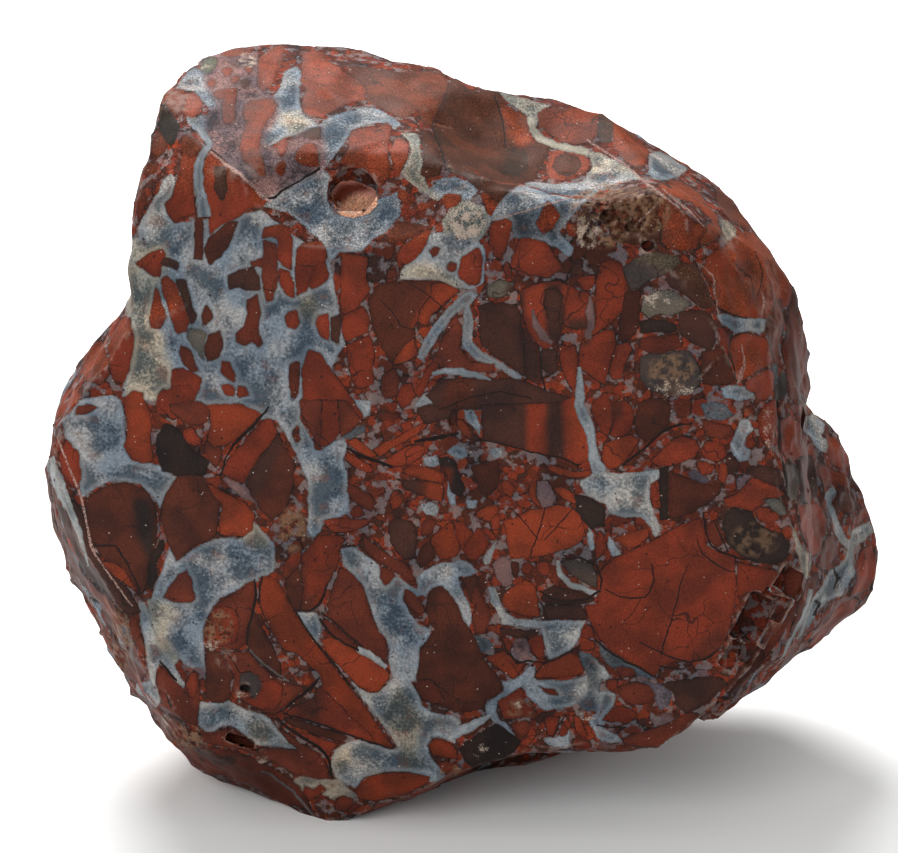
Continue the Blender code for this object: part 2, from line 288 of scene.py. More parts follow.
CROWN_RIGHT = [
    ("maroon", [(422, 130), (431, 130), (438, 138), (440, 150), (443, 165), (440, 175), (428, 178),
     (420, 175), (424, 160), (422, 145)]),
    ("maroon", [(455, 73), (460, 80), (470, 90), (478, 91), (490, 89), (498, 91), (505, 102), (515, 110),
     (530, 116), (533, 124), (530, 132), (535, 140), (545, 137), (552, 142), (549, 152), (545, 160),
     (540, 165), (538, 178), (525, 181), (515, 185), (508, 190), (502, 200), (496, 205), (490, 195),
     (478, 188), (466, 178), (456, 175), (448, 168), (443, 155), (440, 142), (432, 127), (437, 112),
     (443, 100), (448, 85)]),
    ("dark", [(505, 148), (520, 146), (527, 152), (528, 168), (515, 175), (500, 172), (498, 158)]),
    ("bright", [(500, 104), (512, 112), (527, 120), (530, 128), (524, 134), (512, 128), (502, 118)]),
    ("red", [(538, 112), (548, 107), (562, 107), (580, 107), (592, 107), (600, 110), (602, 120), (600, 130),
     (594, 140), (585, 143), (575, 143), (565, 142), (555, 136), (545, 130), (539, 124)]),
    ("dark", [(600, 111), (613, 116), (613, 130), (612, 142), (600, 142), (597, 135)]),
    ("bright", [(613, 116), (622, 122), (632, 132), (642, 142), (650, 150), (646, 162), (641, 168),
     (633, 165), (624, 160), (616, 150), (612, 142), (613, 130)]),
    ("red", [(549, 153), (560, 149), (572, 149), (585, 155), (591, 163), (586, 172), (575, 178), (560, 180),
     (550, 178), (546, 168)]),
    ("maroon", [(555, 157), (565, 152), (577, 156), (583, 165), (574, 175), (560, 175), (552, 167)]),
    ("red", [(537, 222), (541, 212), (548, 200), (555, 206), (560, 216), (553, 228), (545, 234),
     (538, 230)]),
    ("red", [(565, 225), (572, 223), (578, 230), (575, 238), (568, 236)]),
    ("red", [(443, 195), (452, 193), (462, 195), (461, 200), (455, 206), (446, 209), (442, 202)]),
    ("red", [(415, 208), (421, 202), (433, 203), (428, 208), (418, 211)]),
    ("red", [(398, 188), (407, 190), (410, 200), (404, 203), (398, 198)]),
    ("red", [(480, 192), (490, 192), (490, 203), (483, 204)]),
    ("maroon", [(606, 192), (640, 184), (662, 198), (664, 214), (660, 238), (640, 246), (612, 240),
     (604, 214)]),
]
SHOULDER = [
    ("bright", [(660, 186), (665, 181), (680, 179), (690, 186), (700, 192), (708, 205), (716, 215),
     (722, 232), (715, 240), (708, 244), (700, 243), (704, 230), (712, 220), (700, 208), (690, 202),
     (678, 198), (664, 193)]),
    ("red", [(660, 196), (670, 200), (685, 212), (700, 222), (708, 230), (700, 240), (697, 248), (688, 251),
     (668, 248), (662, 240), (664, 225), (658, 212)]),
    ("brown", [(716, 188), (727, 190), (735, 195), (742, 205), (748, 213), (754, 222), (752, 230),
     (745, 228), (738, 222), (730, 220), (722, 212), (718, 202)]),
    ("bright", [(733, 238), (745, 230), (755, 232), (762, 240), (775, 248), (783, 262), (792, 275),
     (795, 290), (793, 305), (782, 310), (778, 318), (765, 318), (750, 318), (735, 316), (725, 312),
     (716, 302), (716, 290), (713, 280), (703, 272), (708, 258), (715, 250), (725, 246)]),
    ("bright", [(735, 338), (745, 333), (758, 335), (768, 338), (770, 350), (775, 360), (768, 366),
     (755, 373), (745, 380), (738, 382), (733, 375), (730, 362), (730, 350)]),
    ("red", [(720, 325), (728, 328), (733, 340), (729, 355), (728, 368), (722, 350), (718, 340)]),
    ("brown", [(776, 300), (786, 298), (786, 320), (782, 345), (783, 365), (775, 360), (770, 345),
     (770, 330), (772, 315)]),
    ("brown", [(792, 275), (797, 300), (800, 320), (806, 340), (812, 352), (813, 395), (805, 400),
     (790, 400), (788, 380), (787, 365), (786, 345), (790, 325), (793, 300)]),
    ("black", [(783, 371), (788, 375), (787, 395), (783, 400), (776, 400), (779, 385)]),
    ("red", [(745, 382), (757, 374), (770, 368), (777, 372), (776, 390), (770, 400), (760, 400), (757, 392),
     (748, 390)]),
    ("grey", [(622, 268), (635, 258), (650, 252), (665, 253), (678, 256), (682, 262), (672, 270),
     (662, 277), (650, 280), (640, 288), (630, 290), (626, 278)]),
    ("dark", [(670, 272), (685, 263), (698, 262), (703, 275), (708, 288), (714, 300), (712, 308),
     (702, 308), (695, 302), (685, 295), (673, 288), (664, 280)]),
    ("dark", [(680, 312), (695, 310), (712, 312), (715, 325), (716, 340), (712, 350), (703, 348),
     (690, 342), (681, 335), (678, 322)]),
    ("maroon", [(702, 352), (716, 350), (722, 345), (728, 362), (735, 378), (730, 384), (715, 386),
     (703, 384), (700, 368)]),
    ("olive", [(642, 300), (655, 292), (664, 289), (675, 292), (688, 300), (692, 305), (682, 312),
     (670, 316), (660, 314), (648, 318), (641, 312)]),
    ("black", [(640, 322), (655, 320), (668, 322), (678, 326), (676, 332), (655, 333), (640, 335)]),
    ("brown", [(640, 338), (660, 336), (677, 335), (684, 345), (672, 352), (655, 355), (640, 350)]),
    ("grey", [(640, 356), (655, 354), (672, 352), (688, 350), (696, 360), (700, 372), (700, 385),
     (690, 395), (670, 398), (650, 392), (640, 380)]),
]
UPPER_LEFT = [
    ("maroon", [(195, 214), (203, 212), (203, 260), (193, 259)]),
    ("maroon", [(208, 238), (228, 222), (237, 222), (229, 247), (219, 258), (209, 265), (203, 250)]),
    ("red", [(135, 263), (150, 252), (162, 248), (166, 254), (161, 268), (160, 278), (152, 276),
     (140, 268)]),
    ("dark", [(163, 256), (178, 262), (179, 271), (166, 266), (160, 264)]),
    ("dark", [(175, 279), (186, 280), (191, 300), (197, 318), (192, 327), (185, 310)]),
    ("red", [(160, 278), (168, 276), (175, 284), (182, 300), (190, 322), (186, 332), (176, 335), (168, 310),
     (163, 296)]),
    ("red", [(155, 283), (161, 297), (166, 318), (160, 330), (150, 328), (148, 316), (153, 300)]),
    ("maroon", [(206, 304), (212, 311), (213, 318), (203, 328), (201, 318)]),
    ("dark", [(227, 276), (240, 270), (253, 266), (259, 278), (260, 290), (248, 291), (240, 288),
     (229, 290)]),
    ("brown", [(246, 300), (258, 294), (261, 312), (258, 330), (263, 345), (258, 350), (253, 342),
     (243, 346), (235, 342), (236, 332), (243, 326), (247, 314)]),
    ("red", [(263, 228), (280, 224), (290, 228), (293, 240), (292, 262), (291, 270), (283, 266), (276, 258),
     (278, 240), (272, 237), (262, 238)]),
    ("brown", [(249, 262), (263, 258), (272, 262), (262, 268), (252, 266)]),
    ("brown", [(263, 240), (276, 244), (278, 280), (273, 300), (266, 303), (262, 280)]),
    ("red", [(277, 268), (289, 272), (294, 284), (294, 298), (286, 296), (280, 284)]),
    ("red", [(296, 250), (303, 243), (320, 240), (327, 252), (325, 262), (313, 280), (306, 292), (297, 296),
     (295, 280)]),
    ("red", [(313, 270), (318, 262), (325, 264), (330, 275), (324, 284), (311, 290), (308, 284)]),
    ("red", [(341, 253), (368, 257), (366, 278), (371, 290), (362, 302), (352, 315), (342, 314),
     (340, 300)]),
    ("red", [(343, 316), (363, 306), (370, 318), (368, 333), (346, 343), (341, 330)]),
    ("red", [(346, 345), (370, 335), (375, 350), (373, 365), (374, 385), (358, 390), (352, 380),
     (348, 365)]),
    ("red", [(318, 315), (328, 314), (330, 325), (329, 342), (320, 336), (315, 325)]),
    ("dark", [(330, 318), (341, 314), (341, 330), (338, 346), (331, 340)]),
    ("red", [(288, 312), (297, 310), (300, 322), (295, 330), (286, 328), (285, 318)]),
    ("red", [(308, 350), (320, 353), (331, 370), (340, 382), (352, 398), (366, 420), (300, 420), (303, 395),
     (301, 370)]),
    ("red", [(157, 395), (165, 388), (172, 400), (168, 415), (158, 415), (155, 405)]),
    ("red", [(171, 370), (184, 368), (202, 378), (199, 392), (186, 408), (176, 412), (171, 400)]),
    ("red", [(221, 360), (230, 362), (236, 375), (234, 382), (228, 380), (220, 372)]),
    ("red", [(220, 385), (228, 383), (236, 388), (233, 396), (224, 396)]),
    ("red", [(238, 386), (246, 388), (250, 396), (240, 398), (236, 392)]),
    ("brown", [(181, 345), (190, 350), (195, 362), (200, 372), (190, 372), (182, 362), (178, 352)]),
    ("maroon", [(208, 335), (220, 331), (223, 345), (220, 358), (207, 362), (203, 350)]),
    ("olive", [(188, 328), (200, 330), (207, 333), (204, 350), (204, 362), (197, 352), (186, 338)]),
    ("brown", [(288, 365), (300, 360), (300, 372), (298, 395), (292, 402), (289, 385)]),
    ("red", [(120, 315), (130, 318), (134, 335), (132, 360), (124, 385), (112, 380), (106, 350),
     (112, 330)]),
    ("red", [(90, 345), (100, 340), (106, 352), (110, 375), (100, 385), (84, 380), (80, 365)]),
]
UPPER_MIDDLE = [
    ("brown", [(398, 220), (424, 224), (428, 229), (405, 240), (388, 245), (385, 238)]),
    ("red", [(398, 265), (396, 256), (402, 246), (425, 230), (430, 230), (426, 244), (417, 258),
     (410, 264)]),
    ("brown", [(388, 270), (396, 262), (398, 278), (386, 280)]),
    ("brown", [(429, 250), (434, 247), (441, 247), (438, 254), (433, 258)]),
    ("brown", [(445, 268), (450, 262), (457, 264), (458, 270), (452, 273)]),
    ("red", [(457, 272), (462, 258), (475, 248), (481, 249), (483, 262), (481, 282), (476, 286), (468, 285),
     (460, 279)]),
    ("red", [(489, 232), (491, 223), (506, 218), (512, 222), (510, 238), (505, 252), (500, 259), (495, 258),
     (489, 245)]),
    ("brown", [(505, 262), (510, 262), (512, 278), (507, 279), (503, 268)]),
    ("red", [(510, 268), (511, 260), (520, 238), (531, 238), (547, 243), (563, 268), (556, 274), (548, 278),
     (530, 275)]),
    ("maroon", [(368, 300), (378, 284), (396, 281), (440, 281), (461, 290), (450, 300), (430, 318),
     (426, 328), (416, 322), (414, 330), (417, 345), (418, 355), (403, 364), (393, 366), (383, 350),
     (376, 335), (370, 315)]),
    ("red", [(432, 284), (445, 283), (461, 291), (448, 300), (432, 315), (427, 327), (418, 322), (420, 310),
     (430, 297)]),
    ("bright", [(395, 358), (405, 345), (414, 338), (418, 355), (404, 363), (392, 366)]),
    ("brown", [(448, 325), (457, 313), (462, 330), (460, 348), (470, 362), (495, 364), (493, 373),
     (470, 372), (445, 368), (430, 365), (438, 350)]),
    ("dark", [(477, 307), (485, 304), (505, 303), (517, 306), (521, 318), (522, 335), (526, 360),
     (525, 378), (510, 366), (495, 357), (482, 345), (478, 330), (480, 316)]),
    ("red", [(521, 300), (520, 290), (540, 283), (560, 281), (570, 286), (568, 300), (563, 320), (560, 335),
     (555, 345), (545, 350), (535, 343), (528, 335), (523, 318)]),
    ("dark", [(545, 290), (556, 288), (563, 296), (560, 312), (556, 325), (548, 320), (544, 305)]),
    ("red", [(570, 285), (577, 290), (590, 293), (587, 310), (588, 328), (576, 330), (565, 326), (562, 318),
     (565, 302)]),
    ("red", [(575, 282), (580, 277), (595, 275), (595, 283), (590, 292), (578, 289)]),
    ("red", [(596, 280), (600, 263), (613, 259), (623, 265), (628, 285), (627, 305), (617, 318), (604, 328),
     (588, 340), (596, 322), (595, 300)]),
    ("red", [(580, 345), (592, 337), (605, 330), (615, 330), (616, 345), (610, 365), (605, 385), (596, 380),
     (585, 372), (578, 368)]),
    ("red", [(616, 345), (630, 342), (632, 350), (625, 365), (622, 380), (612, 380), (609, 370)]),
    ("maroon", [(626, 292), (640, 290), (640, 310), (638, 330), (630, 340), (618, 342), (620, 322)]),
    ("red", [(560, 350), (575, 345), (578, 360), (576, 385), (572, 392), (564, 375), (560, 360)]),
    ("dark", [(541, 350), (557, 349), (557, 372), (548, 376), (541, 365)]),
    ("brown", [(523, 322), (530, 335), (540, 350), (541, 378), (538, 385), (526, 378), (524, 350)]),
    ("dark", [(440, 380), (480, 378), (520, 380), (545, 390), (560, 395), (575, 400), (575, 410),
     (440, 410), (425, 395)]),
    ("red", [(418, 385), (425, 370), (432, 362), (440, 364), (430, 378), (425, 392), (418, 398),
     (413, 390)]),
    ("red", [(400, 385), (411, 383), (416, 395), (410, 405), (402, 410), (396, 400)]),
    ("brown", [(383, 375), (395, 368), (400, 380), (398, 395), (385, 400), (380, 390)]),
    ("olive", [(487, 285), (500, 280), (515, 283), (513, 292), (500, 298), (487, 298)]),
]
MIDDLE_LEFT = [
    ("red", [(55, 418), (53, 405), (58, 395), (62, 388), (72, 388), (78, 392), (78, 403), (68, 413)]),
    ("brown", [(76, 406), (90, 404), (98, 408), (85, 414), (74, 416)]),
    ("bright", [(123, 398), (134, 390), (142, 393), (145, 402), (150, 412), (152, 425), (150, 440),
     (153, 455), (152, 462), (140, 463), (131, 458), (123, 446), (127, 436), (126, 420)]),
    ("black", [(163, 425), (168, 423), (176, 428), (185, 438), (190, 448), (200, 455), (210, 460),
     (205, 475), (180, 476), (163, 472), (158, 460), (155, 445), (158, 435)]),
    ("red", [(160, 392), (175, 386), (190, 385), (196, 395), (194, 404), (185, 415), (172, 420), (165, 412),
     (158, 408), (157, 398)]),
    ("brown", [(170, 405), (190, 400), (200, 402), (210, 410), (208, 422), (200, 425), (185, 425),
     (180, 418), (170, 412)]),
    ("bright", [(205, 405), (220, 404), (242, 404), (255, 410), (262, 414), (255, 425), (243, 436),
     (232, 442), (222, 448), (212, 448), (207, 440), (211, 425), (208, 412)]),
    ("red", [(183, 430), (192, 427), (197, 435), (203, 442), (196, 447), (188, 444), (183, 438)]),
    ("brown", [(206, 440), (215, 448), (222, 445), (222, 455), (217, 468), (208, 460), (204, 450)]),
    ("red", [(205, 478), (220, 475), (222, 485), (214, 492), (206, 488)]),
    ("maroon", [(178, 476), (200, 472), (205, 480), (212, 492), (222, 500), (218, 520), (216, 535),
     (205, 542), (195, 545), (182, 558), (176, 562), (170, 548), (164, 535), (160, 520), (162, 505),
     (168, 490)]),
    ("bright", [(206, 482), (225, 493), (245, 503), (255, 515), (252, 530), (243, 537), (232, 536),
     (220, 535), (219, 520), (222, 505), (212, 495)]),
    ("maroon", [(84, 500), (98, 491), (110, 484), (124, 482), (136, 485), (150, 495), (155, 510),
     (158, 530), (156, 545), (150, 560), (148, 580), (142, 595), (130, 580), (118, 570), (105, 560),
     (92, 545), (88, 530), (86, 512)]),
    ("black", [(150, 555), (158, 545), (163, 540), (164, 550), (156, 565), (158, 575), (152, 590),
     (148, 585), (148, 570)]),
    ("brown", [(163, 598), (168, 588), (178, 575), (187, 570), (192, 582), (195, 600), (190, 603),
     (170, 602)]),
    ("dark", [(55, 495), (72, 500), (84, 512), (92, 548), (110, 572), (130, 592), (140, 612), (128, 620),
     (108, 600), (84, 572), (66, 548), (57, 520)]),
    # bright red, and partly a painted highlight on the lit facet below that step's overhang
    ("bright", [(100, 562), (112, 562), (125, 570), (130, 580), (140, 598), (133, 590), (122, 582),
     (112, 575)]),
]
MIDDLE = [
    ("red", [(222, 474), (226, 462), (240, 446), (254, 430), (266, 418), (272, 420), (278, 432), (270, 445),
     (258, 458), (250, 472), (244, 485)]),
    ("dark", [(278, 432), (284, 446), (295, 463), (294, 480), (290, 500), (284, 511), (272, 520),
     (262, 512), (252, 498), (245, 484), (252, 470), (262, 455)]),
    ("brown", [(292, 432), (298, 424), (300, 440), (296, 446)]),
    ("brown", [(300, 400), (322, 400), (320, 447), (318, 447), (312, 435), (305, 422), (300, 412)]),
    ("red", [(320, 400), (338, 400), (344, 425), (335, 440), (325, 447), (319, 447)]),
    ("brown", [(338, 400), (348, 402), (362, 420), (350, 432), (340, 437)]),
    ("bright", [(346, 442), (355, 438), (365, 445), (378, 456), (370, 458), (355, 450)]),
    ("red", [(346, 452), (357, 458), (368, 464), (375, 470), (368, 474), (355, 468), (345, 460)]),
    ("bright", [(373, 450), (385, 442), (400, 436), (412, 428), (425, 423), (428, 426), (418, 434),
     (405, 442), (390, 450), (380, 457)]),
    ("red", [(382, 462), (395, 454), (405, 447), (418, 445), (428, 448), (420, 458), (410, 465),
     (395, 467)]),
    ("bright", [(400, 472), (412, 465), (430, 468), (445, 474), (444, 484), (420, 480)]),
    ("maroon", [(397, 480), (420, 480), (444, 485), (442, 503), (425, 498), (405, 490)]),
    ("brown", [(348, 484), (358, 488), (370, 495), (376, 503), (372, 512), (362, 508), (352, 500),
     (347, 492)]),
    ("red", [(351, 508), (360, 506), (365, 514), (357, 520), (350, 516)]),
    ("bright", [(389, 500), (393, 492), (400, 490), (404, 496), (402, 506), (393, 511)]),
    ("red", [(322, 521), (335, 518), (352, 519), (368, 520), (376, 518), (368, 524), (358, 530), (345, 533),
     (332, 532)]),
    ("dark", [(388, 525), (395, 518), (408, 520), (416, 528), (418, 545), (414, 558), (405, 560),
     (395, 550), (390, 540)]),
    ("red", [(318, 535), (338, 536), (345, 540), (340, 550), (339, 562), (333, 575), (326, 588), (320, 605),
     (312, 612), (300, 612), (303, 590), (300, 570), (302, 555), (310, 545)]),
    ("maroon", [(285, 570), (300, 568), (303, 590), (300, 612), (292, 612), (286, 595)]),
    ("red", [(290, 555), (302, 548), (300, 565), (290, 575), (284, 580), (282, 568)]),
    ("brown", [(340, 568), (350, 572), (360, 582), (366, 595), (370, 612), (378, 630), (386, 642),
     (388, 655), (385, 662), (375, 656), (362, 649), (345, 636), (328, 618), (328, 605), (332, 590)]),
    ("brown", [(362, 535), (375, 545), (390, 556), (405, 563), (413, 575), (416, 583), (405, 580),
     (390, 568), (375, 560), (364, 550)]),
    ("brown", [(380, 566), (390, 570), (395, 576), (390, 583), (384, 586), (380, 578)]),
    ("brown", [(405, 590), (412, 592), (420, 600), (425, 612), (418, 616), (408, 606), (404, 597)]),
]
CENTRE = [
    ("dark", [(415, 408), (430, 405), (450, 406), (460, 410), (455, 417), (440, 422), (425, 424)]),
    ("bright", [(455, 420), (462, 420), (470, 428), (478, 436), (480, 442), (470, 440), (460, 432)]),
    ("red", [(480, 405), (527, 404), (560, 402), (577, 395), (585, 415), (592, 440), (592, 460), (578, 465),
     (564, 459), (546, 456), (527, 451), (500, 443), (484, 440)]),
    ("red", [(594, 400), (607, 392), (612, 405), (614, 420), (608, 436), (600, 432), (595, 420),
     (590, 408)]),
    ("red", [(612, 402), (625, 400), (635, 410), (632, 430), (620, 440), (610, 436), (614, 420)]),
    ("bright", [(603, 445), (618, 438), (632, 435), (640, 440), (630, 455), (618, 468), (606, 470),
     (602, 458)]),
    ("maroon", [(638, 402), (655, 398), (668, 400), (672, 412), (668, 425), (658, 436), (648, 442),
     (638, 438), (634, 425)]),
    ("bright", [(545, 463), (560, 468), (575, 472), (592, 470), (590, 477), (575, 478), (560, 476),
     (548, 470)]),
    ("red", [(500, 480), (508, 480), (515, 488), (512, 498), (503, 492)]),
    ("bright", [(530, 485), (537, 480), (536, 495), (545, 510), (535, 505), (528, 495)]),
    ("mauve", [(537, 482), (547, 480), (553, 490), (557, 500), (550, 508), (542, 508), (536, 495)]),
    ("bright", [(552, 487), (562, 487), (572, 492), (578, 505), (570, 503), (558, 495)]),
    ("bright", [(503, 520), (515, 518), (530, 510), (545, 508), (558, 505), (572, 508), (580, 515),
     (585, 530), (583, 540), (572, 548), (558, 552), (545, 556), (530, 558), (510, 560), (507, 545),
     (505, 530)]),
    ("bright", [(473, 515), (485, 507), (498, 503), (498, 512), (490, 522), (482, 520)]),
    ("red", [(490, 520), (498, 512), (501, 520), (499, 530), (492, 530)]),
    ("red", [(452, 520), (462, 522), (470, 530), (474, 535), (465, 545), (460, 548), (455, 535)]),
    ("bright", [(430, 540), (440, 530), (452, 521), (456, 535), (461, 550), (455, 558), (440, 560),
     (436, 555)]),
    ("red", [(462, 550), (468, 540), (478, 527), (485, 535), (490, 543), (482, 555), (477, 563),
     (468, 560)]),
    ("red", [(480, 523), (490, 530), (498, 540), (492, 542), (485, 533)]),
    ("maroon", [(418, 552), (425, 545), (432, 538), (436, 545), (436, 558), (430, 563), (420, 568)]),
    ("brown", [(420, 525), (430, 518), (437, 522), (432, 533), (422, 538)]),
    ("black", [(437, 460), (447, 456), (455, 460), (460, 475), (465, 490), (460, 498), (450, 490),
     (447, 475)]),
    ("maroon", [(470, 465), (485, 463), (497, 460), (500, 470), (498, 485), (490, 495), (483, 498),
     (478, 485)]),
    ("black", [(575, 495), (590, 498), (605, 508), (605, 526), (590, 530), (578, 515)]),
    ("grey", [(561, 562), (575, 560), (592, 565), (600, 580), (602, 590), (596, 588), (582, 582),
     (570, 575)]),
    ("mauve", [(492, 565), (498, 558), (505, 556), (512, 562), (515, 575), (512, 585), (504, 588),
     (497, 580)]),
    ("maroon", [(512, 562), (518, 563), (520, 570), (517, 578), (512, 575)]),
    ("red", [(522, 565), (530, 562), (534, 568), (530, 575), (522, 573)]),
    ("red", [(535, 563), (548, 562), (551, 572), (545, 577), (538, 572)]),
    ("bright", [(515, 585), (525, 580), (535, 585), (538, 600), (540, 618), (525, 616), (510, 612),
     (502, 604), (503, 594)]),
    ("bright", [(612, 540), (625, 533), (640, 530), (650, 528), (648, 538), (640, 545), (630, 550),
     (622, 545)]),
    ("red", [(598, 530), (604, 535), (607, 548), (603, 555), (596, 560), (595, 545)]),
    ("maroon", [(462, 580), (475, 575), (480, 585), (484, 600), (478, 606), (470, 600)]),
    ("dark", [(542, 590), (556, 586), (575, 592), (590, 597), (598, 600), (590, 603), (560, 605),
     (542, 604)]),
]
RIGHT_LOW = [
    ("red", [(597, 575), (612, 560), (628, 552), (645, 545), (660, 537), (672, 530), (683, 524), (693, 520),
     (700, 519), (705, 530), (706, 545), (720, 553), (735, 557), (736, 580), (736, 600), (732, 620),
     (726, 640), (720, 650), (706, 660), (690, 663), (675, 662), (660, 668), (655, 678), (640, 668),
     (625, 660), (610, 650), (600, 640), (590, 622), (584, 606), (598, 603)]),
    ("red", [(737, 562), (748, 565), (760, 568), (775, 570), (782, 575), (776, 590), (770, 600), (757, 592),
     (745, 593), (740, 600), (736, 590)]),
    ("black", [(724, 515), (730, 507), (742, 510), (752, 512), (755, 520), (760, 525), (770, 530),
     (782, 535), (792, 545), (785, 560), (770, 565), (755, 562), (740, 555), (728, 545), (722, 530)]),
    ("red", [(722, 500), (735, 495), (745, 485), (752, 477), (765, 480), (778, 488), (786, 494), (775, 500),
     (762, 505), (752, 512), (740, 508), (728, 508)]),
    ("red", [(755, 507), (768, 508), (778, 512), (780, 520), (770, 525), (758, 520)]),
    ("bright", [(782, 528), (788, 525), (795, 530), (790, 538), (783, 540)]),
    ("brown", [(706, 524), (716, 520), (722, 530), (724, 545), (716, 548), (707, 540)]),
    ("maroon", [(668, 470), (685, 478), (705, 484), (722, 488), (715, 498), (700, 508), (690, 514),
     (680, 518), (668, 518), (668, 495)]),
    ("black", [(660, 468), (668, 466), (669, 490), (668, 520), (660, 520), (659, 495)]),
    ("red", [(650, 485), (658, 480), (660, 495), (660, 510), (653, 508), (650, 498)]),
    ("red", [(650, 462), (662, 450), (672, 440), (682, 436), (695, 440), (700, 448), (695, 458), (685, 462),
     (672, 466), (660, 467)]),
    ("red", [(700, 450), (706, 442), (716, 441), (724, 445), (728, 455), (722, 462), (712, 462),
     (704, 458)]),
    ("red", [(696, 462), (706, 462), (716, 466), (712, 474), (702, 476)]),
    ("bright", [(720, 462), (727, 464), (728, 475), (724, 485), (718, 480)]),
    ("red", [(746, 442), (752, 438), (757, 443), (754, 448), (747, 449)]),
    ("dark", [(746, 468), (760, 466), (775, 468), (785, 474), (784, 486), (770, 485), (758, 480),
     (748, 474)]),
    ("olive", [(762, 500), (775, 498), (785, 505), (788, 515), (780, 516), (770, 508)]),
    ("red", [(758, 418), (768, 404), (778, 398), (780, 420), (776, 440), (768, 450), (760, 436)]),
    ("brown", [(700, 418), (716, 424), (730, 426), (735, 434), (722, 440), (706, 436)]),
    ("dark", [(660, 684), (672, 682), (690, 680), (706, 676), (720, 678), (728, 684), (715, 696),
     (700, 708), (685, 714), (676, 706), (674, 694)]),
    ("brown", [(620, 686), (635, 682), (650, 686), (655, 695), (650, 703), (635, 706), (622, 700),
     (617, 692)]),
    ("red", [(612, 708), (622, 706), (635, 712), (638, 716), (628, 724), (610, 722), (602, 720)]),
    ("red", [(606, 680), (618, 680), (616, 690), (607, 690)]),
    ("brown", [(612, 668), (622, 666), (634, 669), (636, 676), (622, 677)]),
    ("brown", [(622, 738), (640, 732), (655, 728), (670, 722), (690, 712), (702, 716), (692, 730),
     (675, 742), (660, 748), (640, 747), (625, 745)]),
]
RIGHT_FLANK = [
    ("brown", [(788, 405), (800, 404), (812, 402), (814, 412), (806, 416), (796, 414)]),
    ("red", [(781, 420), (790, 415), (799, 421), (806, 432), (814, 446), (818, 456), (808, 454), (800, 459),
     (795, 464), (786, 450)]),
    ("grey", [(787, 464), (800, 464), (800, 500), (790, 502), (788, 480)]),
    ("dark", [(801, 462), (808, 456), (816, 458), (819, 475), (820, 492), (812, 502), (802, 503)]),
    ("red", [(800, 505), (812, 504), (820, 502), (826, 508), (829, 520), (827, 535), (822, 548), (816, 558),
     (810, 548), (803, 530)]),
    ("red", [(828, 432), (838, 440), (848, 448), (854, 458), (852, 466), (842, 470), (832, 462),
     (828, 450)]),
    ("red", [(820, 460), (830, 466), (840, 472), (850, 476), (854, 492), (846, 488), (836, 482),
     (826, 488)]),
    ("maroon", [(838, 492), (848, 491), (858, 500), (862, 508), (850, 514), (842, 510)]),
    ("red", [(864, 508), (870, 505), (875, 514), (866, 520), (856, 526), (852, 520)]),
    ("brown", [(828, 540), (834, 534), (840, 545), (836, 560), (826, 572), (820, 566)]),
    ("red", [(858, 562), (864, 550), (873, 544), (878, 560), (879, 575), (870, 590), (860, 598), (852, 596),
     (857, 580)]),
    ("brown", [(782, 575), (792, 566), (803, 570), (803, 590), (796, 600), (786, 596)]),
    ("brown", [(762, 640), (776, 618), (790, 602), (800, 604), (792, 622), (776, 645), (764, 660)]),
    ("brown", [(800, 600), (812, 580), (822, 572), (818, 590), (806, 612), (796, 630), (790, 640)]),
    ("red", [(848, 600), (862, 600), (850, 618), (834, 634), (818, 646), (806, 650), (822, 628),
     (836, 612)]),
    ("maroon", [(740, 668), (756, 650), (764, 640), (764, 662), (748, 684), (730, 696), (726, 690)]),
]
